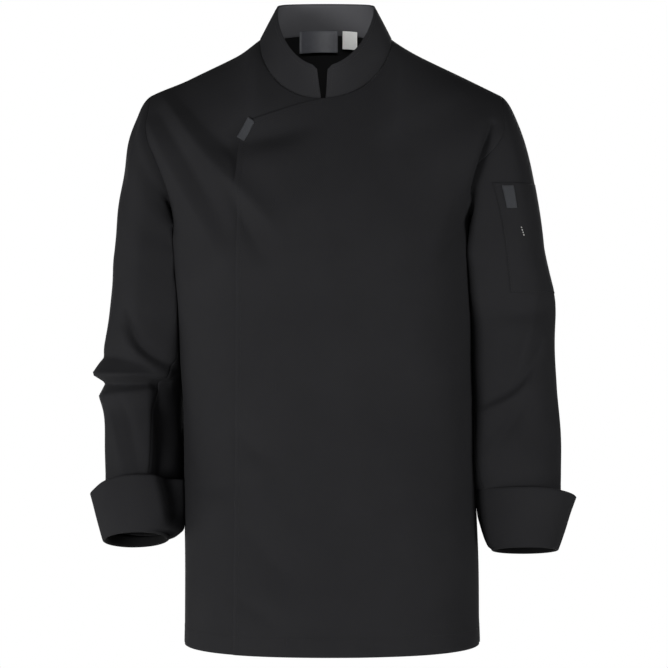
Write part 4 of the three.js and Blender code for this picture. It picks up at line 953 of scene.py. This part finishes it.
# Sleeves and cuffs
sleeveGrids = {}
for name in arms:
    sleeveGrids[name] = sleevePanel(name, True)
    underGrid = sleevePanel(name, False)
    clothPiece(f"{name}SleeveTop", sleeveGrids[name], cloth["wall"], f"{name}_sleeve_top", cuts[f"{name}SleeveTop"])
    clothPiece(f"{name}SleeveUnder", underGrid, cloth["wall"], f"{name}_sleeve_under", cuts[f"{name}SleeveUnder"])
    clothPiece(f"{name}Cuff", cuffGrid(name), cloth["wall"], f"{name}_cuff", cuts[f"{name}Cuff"])
print("sleeves made")

# Collar
collarLayer = (cloth["collarWall"] + cloth["seamGap"]) / 2
standGrid = collarGrid(collarLayer, collar["start"] / 40, 1.0)
# Its pressed edges take the twill's painted highlight
standGrid["paintedEdgeHighlight"] = ["start", "end", "bottom"]
clothPiece("collarStand", standGrid, cloth["collarWall"], "collar_stand", cuts["collarStand"])
clothPiece("collarFacing", collarGrid(-collarLayer, -0.05, 0.985), cloth["collarWall"], "collar_facing",
           cuts["collarFacing"], (facingTwillPaintedLight, facingTwillPaintedLight), "facing_cloth")
print("collar made")


# Pieces that lie on a sleeve, sampled from its own grid; share is the place across it, 0 to 1
def patchOn(grid, shares, top, bottom, rowCount, lift):
    cols = grid["p"].shape[1]
    c = shares * (cols - 1)
    j = np.minimum(c.astype(int), cols - 2)
    v = (c - j)[None, :, None]
    strip = {k: grid[k][:, j] * (1 - v) + grid[k][:, j + 1] * v for k in ("p", "n", "uv")}
    heights = np.linspace(top, bottom, rowCount)
    result = {k: np.zeros((rowCount,) + strip[k].shape[1:]) for k in strip}
    for k in range(len(shares)):
        row = np.interp(-heights, -strip["p"][:, k, 2], np.arange(len(grid["p"])))
        i = np.minimum(row.astype(int), len(grid["p"]) - 2)
        u = (row - i)[:, None]
        for name in strip:
            result[name][:, k] = strip[name][i, k] * (1 - u) + strip[name][i + 1, k] * u
    result["n"] = unit(result["n"])
    result["p"] = result["p"] + result["n"] * lift
    return result


# Pen pocket on the left sleeve, with the tape that its maker folded into its front seam
pocket = {"top": -182, "bottom": -317, "from": -12, "to": 97}
sleeveTape = {"top": -186, "bottom": -213, "from": 74.5, "to": 88, "flat": (0.014, 0.028)}
onCloth = cloth["wall"] / 2 + cloth["trimWall"] / 2 + 0.06


def sleeveShare(degrees):
    back, front = arms["left"]["backTop"] - 360, arms["left"]["seam"][0]
    return (degrees - back) / (front - back)


pocketGrid = patchOn(sleeveGrids["left"], np.linspace(sleeveShare(pocket["from"]), sleeveShare(pocket["to"]), 40),
                     pocket["top"], pocket["bottom"], 50, (cloth["wall"] + cloth["pocketWall"]) / 2 + 0.06)
clothPiece("sleevePocket", pocketGrid, cloth["pocketWall"], "sleeve_pocket", cuts["pocket"])
tapeShares = np.linspace(sleeveShare(sleeveTape["from"]), sleeveShare(sleeveTape["to"]), 8)
tapeGrid = patchOn(sleeveGrids["left"], tapeShares, sleeveTape["top"], sleeveTape["bottom"], 14,
                   onCloth + cloth["pocketWall"] + 0.06)
clothPiece("sleeveTape", tapeGrid, cloth["trimWall"], "sleeve_tape",
           {"flat": sleeveTape["flat"], "area": 0.00037}, (herringbone, herringbone), "grey_tape")

# Tape folded over the closing's corner
frontTape = {"fromX": -89.5, "fromZ": -109, "toX": -103.5, "toZ": -132, "wide": 9, "flat": (0.0105, 0.029)}


def frontTapeGrid():
    t = frontTape
    length = math.hypot(t["toX"] - t["fromX"], t["toZ"] - t["fromZ"])
    s = np.linspace(0, 1, 13)[:, None]
    off = t["wide"] * np.linspace(-0.5, 0.5, 7)[None]
    x = mix(t["fromX"], t["toX"], s) - (t["toZ"] - t["fromZ"]) / length * off
    z = mix(t["fromZ"], t["toZ"], s) + (t["toX"] - t["fromX"]) / length * off
    p, n = bodyCloth(-1, *locate(-1, x, z), closing["lift"] + onCloth, "left")
    return {"p": p, "n": facing(gridNormals(p), n), "uv": np.stack(np.broadcast_arrays(off, s * length), -1)}


clothPiece("frontTape", frontTapeGrid(), cloth["trimWall"], "front_tape",
           {"flat": frontTape["flat"], "area": 0.0003}, (herringbone, herringbone), "grey_tape")

# Bare labels in the back of the neck
neckLabel = {"left": -33.5, "right": 14.5, "tall": 27, "bend": 1.5}
sizeLabel = {"left": 21, "right": 39.5, "tall": 22, "bend": 2.5}
clothPiece("neckLabel", labelGrid(**neckLabel), cloth["trimWall"], "neck_label",
           {"flat": (0.048, 0.029), "area": 0.00138}, (satinLabel, satinLabel), "dark_label")
clothPiece("sizeLabel", labelGrid(**sizeLabel), cloth["trimWall"], "size_label",
           {"flat": (0.0185, 0.023), "area": 0.00042}, (whiteLabel, whiteLabel), "white_label")
print("pocket, tapes and labels made")


# Stitches: a lockstitch every 3 mm along its line, drawn a little thicker than the real 0.4 mm thread
stitch = {"pitch": 3.1, "length": 2.3, "width": 0.5, "inset": 6.5, "hemInset": 22, "proud": 0.12}


# The line that runs a set distance in from a grid's edge, lying on the cloth's outer face
def insetLine(grid, edge, distance, first=0, last=None, thick=cloth["wall"]):
    p, n = grid["p"], grid["n"]
    if edge in ("top", "bottom"):
        p, n = p.transpose(1, 0, 2), n.transpose(1, 0, 2)
    if edge in ("end", "bottom"):
        p, n = p[:, ::-1], n[:, ::-1]
    p, n = p[first:last], n[first:last]
    along = unit(np.gradient(p[:, 0], axis=0))
    away = p - p[:, :1]
    away = away - np.sum(away * along[:, None], -1, keepdims=True) * along[:, None]
    reach = np.maximum.accumulate(np.linalg.norm(away, axis=-1), 1)
    line = np.zeros((len(p), 3))
    for i in range(len(p)):
        k = min(max(int(np.searchsorted(reach[i], distance)), 1), p.shape[1] - 1)
        t = np.clip((distance - reach[i, k - 1]) / max(reach[i, k] - reach[i, k - 1], 1e-6), 0, 1)
        line[i] = mix(p[i, k - 1] + n[i, k - 1] * thick / 2, p[i, k] + n[i, k] * thick / 2, t)
        line[i] += n[i, k] * stitch["proud"]
    return line


def stitchTree():
    tree = bpy.data.node_groups.new("stitchRow", "GeometryNodeTree")
    tree.interface.new_socket("Geometry", in_out="INPUT", socket_type="NodeSocketGeometry")
    for name in ("pitch", "length", "width"):
        tree.interface.new_socket(name, in_out="INPUT", socket_type="NodeSocketFloat")
    tree.interface.new_socket("thread", in_out="INPUT", socket_type="NodeSocketMaterial")
    tree.interface.new_socket("Geometry", in_out="OUTPUT", socket_type="NodeSocketGeometry")
    start = addNode(tree, "NodeGroupInput")
    line = addNode(tree, "GeometryNodeMeshToCurve", links=[("Mesh", start.outputs["Geometry"])])
    spaced = addNode(tree, "GeometryNodeResampleCurve", {"mode": "LENGTH"},
                     links=[("Curve", line.outputs["Curve"]), ("Length", start.outputs["pitch"])])
    bead = addNode(tree, "GeometryNodeMeshUVSphere", {}, {"Segments": 6, "Rings": 4, "Radius": 0.5})
    size = addNode(tree, "ShaderNodeCombineXYZ", links=[("X", start.outputs["length"]), ("Y", start.outputs["width"]),
                                                        ("Z", start.outputs["width"])])
    tangent = addNode(tree, "GeometryNodeInputTangent")
    turned = addNode(tree, "FunctionNodeAlignRotationToVector", {"axis": "X"},
                     links=[("Vector", tangent.outputs["Tangent"])])
    rows = addNode(tree, "GeometryNodeInstanceOnPoints",
                   links=[("Points", spaced.outputs["Curve"]), ("Instance", bead.outputs["Mesh"]),
                          ("Rotation", turned.outputs["Rotation"]), ("Scale", size.outputs["Vector"])])
    real = addNode(tree, "GeometryNodeRealizeInstances", links=[("Geometry", rows.outputs["Instances"])])
    dressed = addNode(tree, "GeometryNodeSetMaterial", links=[("Geometry", real.outputs["Geometry"]),
                                                              ("Material", start.outputs["thread"])])
    addNode(tree, "NodeGroupOutput", links=[("Geometry", dressed.outputs["Geometry"])])
    return tree


stitchRows = stitchTree()


def sew(name, lines, thread):
    verts = np.concatenate(lines) / 1000
    edges, first = [], 0
    for line in lines:
        edges += [(first + k, first + k + 1) for k in range(len(line) - 1)]
        first += len(line)
    mesh = bpy.data.meshes.new(name + "Line")
    mesh.from_pydata(verts.tolist(), edges, [])
    drawn = bpy.data.objects.new(name + "Line", mesh)
    bpy.context.scene.collection.objects.link(drawn)
    modifier = drawn.modifiers.new("stitchRow", "NODES")
    modifier.node_group = stitchRows
    sockets = {item.name: item.identifier for item in stitchRows.interface.items_tree if item.in_out == "INPUT"}
    for key in ("pitch", "length", "width"):
        modifier[sockets[key]] = stitch[key] / 1000
    modifier[sockets["thread"]] = thread
    seen = drawn.evaluated_get(bpy.context.evaluated_depsgraph_get())
    sewn = bpy.data.meshes.new_from_object(seen)
    sewn.name = name
    piece = bpy.data.objects.new(name, sewn)
    bpy.context.scene.collection.objects.link(piece)
    bpy.data.objects.remove(drawn)
    sewn.polygons.foreach_set("use_smooth", np.ones(len(sewn.polygons), bool))
    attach(piece, "root")
    print(f"{name}: {len(sewn.polygons)} faces")
    return piece


neckFrom = neckRow + 1
sew("closingStitches", [insetLine(leftGrid, "start", stitch["inset"], 2, neckFrom - 2)], blackThread)
sew("hemStitches", [insetLine(g, "top", stitch["hemInset"]) for g in (leftGrid, rightGrid, backGrid)], blackThread)
sew("collarStitches", [insetLine(standGrid, "bottom", 5, 3, -3, cloth["collarWall"]),
                       insetLine(standGrid, "start", 5, 2, -4, cloth["collarWall"]),
                       insetLine(standGrid, "end", 5, 2, -4, cloth["collarWall"])], blackThread)
sew("pocketStitches", [insetLine(pocketGrid, side, 1.6, 1, -1, cloth["pocketWall"])
                       for side in ("start", "end", "bottom")], blackThread)

# Short bars of stitches: black pairs that hold the closing's hidden layers, and a white one on the pen pocket
tack = {"x": [-61, -61, -61, -61, -61, -48], "z": [-213, -321, -431, -542, -650, -734], "half": 3.2, "apart": 1.8,
        "bar": {"from": 70.5, "to": 67.5, "top": -237, "bottom": -246}}


def tackLines():
    lines = []
    for x, z in zip(tack["x"], tack["z"]):
        for side in (-1, 1):
            down = np.linspace(z + tack["half"], z - tack["half"], 6)
            place = locate(-1, x + side * tack["apart"], down)
            lines.append(bodyCloth(-1, *place, closing["lift"] + cloth["wall"] / 2 + stitch["proud"], "left")[0])
    return lines


def barLines():
    b = tack["bar"]
    lift = (cloth["wall"] / 2 + cloth["pocketWall"]) + 0.06 + stitch["proud"]
    lines = []
    for turned in (-0.5, 0.5):
        shares = np.linspace(sleeveShare(b["from"] + turned), sleeveShare(b["to"] + turned), 7)
        bar = patchOn(sleeveGrids["left"], shares, b["top"], b["bottom"], 7, lift)
        lines.append(bar["p"][np.arange(7), np.arange(7)])
    return lines


sew("closingTacks", tackLines(), blackThread)
sew("pocketBar", barLines(), whiteThread)
print("stitches made")

# Studio: a pale floor, a pale surround and soft light
studio = {"floor": -1.5, "radius": 4.5, "ambient": 0.07, "floorGlow": 0.75,
          "camera": (0.010, -2.8, -0.3675), "lens": 2240 / 668 * 36}


def makeFloor():
    around = [(studio["radius"] * math.cos(a), studio["radius"] * math.sin(a), studio["floor"])
              for a in np.linspace(0, 2 * math.pi, 96, endpoint=False)]
    mesh = bpy.data.meshes.new("floor")
    mesh.from_pydata(around, [], [list(range(96))])
    floor = bpy.data.objects.new("floor", mesh)
    bpy.context.scene.collection.objects.link(floor)
    material, tree, shader = newMaterial("paintedFloor", "e6e6e4", 0.7, 0.0, 0.3)
    place = addNode(tree, "ShaderNodeTexCoord")
    cloud = addNode(tree, "ShaderNodeTexNoise", {}, {"Scale": 3.0}, [("Vector", place.outputs["Object"])])
    colour = addNode(tree, "ShaderNodeMix", {"data_type": "RGBA"}, {"A": linear("e4e4e2"), "B": linear("ececea")},
                     [("Factor", cloud.outputs["Fac"])])
    tree.links.new(colour.outputs["Result"], shader.inputs["Base Color"])
    # the floor is as pale as the surround to look at, and casts no more light on the cloth
    seen = addNode(tree, "ShaderNodeLightPath")
    glow = addNode(tree, "ShaderNodeMapRange", {}, {"To Min": 0.0, "To Max": studio["floorGlow"]},
                   [("Value", seen.outputs["Is Camera Ray"])])
    tree.links.new(glow.outputs["Result"], shader.inputs["Emission Strength"])
    shader.inputs["Emission Color"].default_value = linear("e4e4e2")
    mesh.materials.append(material)


lights = {
    "name": ["keyLight", "fillLight", "frontLight", "sideLight", "backLight", "backFill"],
    "place": [(-1.35, -1.9, -0.62), (2.3, -1.4, -0.35), (0.9, -2.4, -0.7), (-2.2, 0.2, -1.0), (0.9, 2.8, 0.4),
              (-0.9, 2.8, -0.4)],
    "size": [0.7, 1.0, 0.7, 0.8, 1.0, 1.0],
    "watts": [31, 24, 2.5, 8, 24, 12],
}
neckLight = {"place": (0.0, -2.2, 0.1), "aim": (0.0, 0.05, 0.02), "cone": 6.0, "size": 0.12, "watts": 190}


def makeLights():
    middle = Vector((0, 0, -0.35))
    for name, place, size, watts in zip(*lights.values()):
        lamp = bpy.data.lights.new(name, "AREA")
        lamp.shape, lamp.size, lamp.energy = "SQUARE", size, watts
        thing = bpy.data.objects.new(name, lamp)
        thing.location = place
        thing.visible_camera = False
        thing.rotation_euler = (middle - Vector(place)).to_track_quat("-Z", "Y").to_euler()
        bpy.context.scene.collection.objects.link(thing)
    # a narrow light that reaches the labels and the inside of the collar
    spot = bpy.data.lights.new("neckLight", "SPOT")
    spot.energy, spot.shadow_soft_size = neckLight["watts"], neckLight["size"]
    spot.spot_size, spot.spot_blend = math.radians(neckLight["cone"]), 1.0
    thing = bpy.data.objects.new("neckLight", spot)
    thing.location = neckLight["place"]
    way = Vector(neckLight["aim"]) - Vector(neckLight["place"])
    thing.rotation_euler = way.to_track_quat("-Z", "Y").to_euler()
    bpy.context.scene.collection.objects.link(thing)
    world = bpy.data.worlds.new("paleStudio")
    world.use_nodes = True
    tree = world.node_tree
    # the white surround is plain to look at, and dimmer where it lights the cloth
    seen = addNode(tree, "ShaderNodeLightPath")
    level = addNode(tree, "ShaderNodeMapRange", {}, {"To Min": studio["ambient"], "To Max": 1.0},
                    [("Value", seen.outputs["Is Camera Ray"])])
    tree.links.new(level.outputs["Result"], tree.nodes["Background"].inputs["Strength"])
    tree.nodes["Background"].inputs["Color"].default_value = (1, 1, 1, 1)
    bpy.context.scene.world = world


def makeCamera():
    lens = bpy.data.cameras.new("camera")
    lens.lens, lens.sensor_width, lens.sensor_fit = studio["lens"], 36, "HORIZONTAL"
    camera = bpy.data.objects.new("camera", lens)
    camera.location = studio["camera"]
    camera.rotation_euler = (math.pi / 2, 0, 0)
    bpy.context.scene.collection.objects.link(camera)
    bpy.context.scene.camera = camera


makeFloor()
makeLights()
makeCamera()
bpy.context.scene.view_settings.view_transform = "Standard"
print("studio ready")
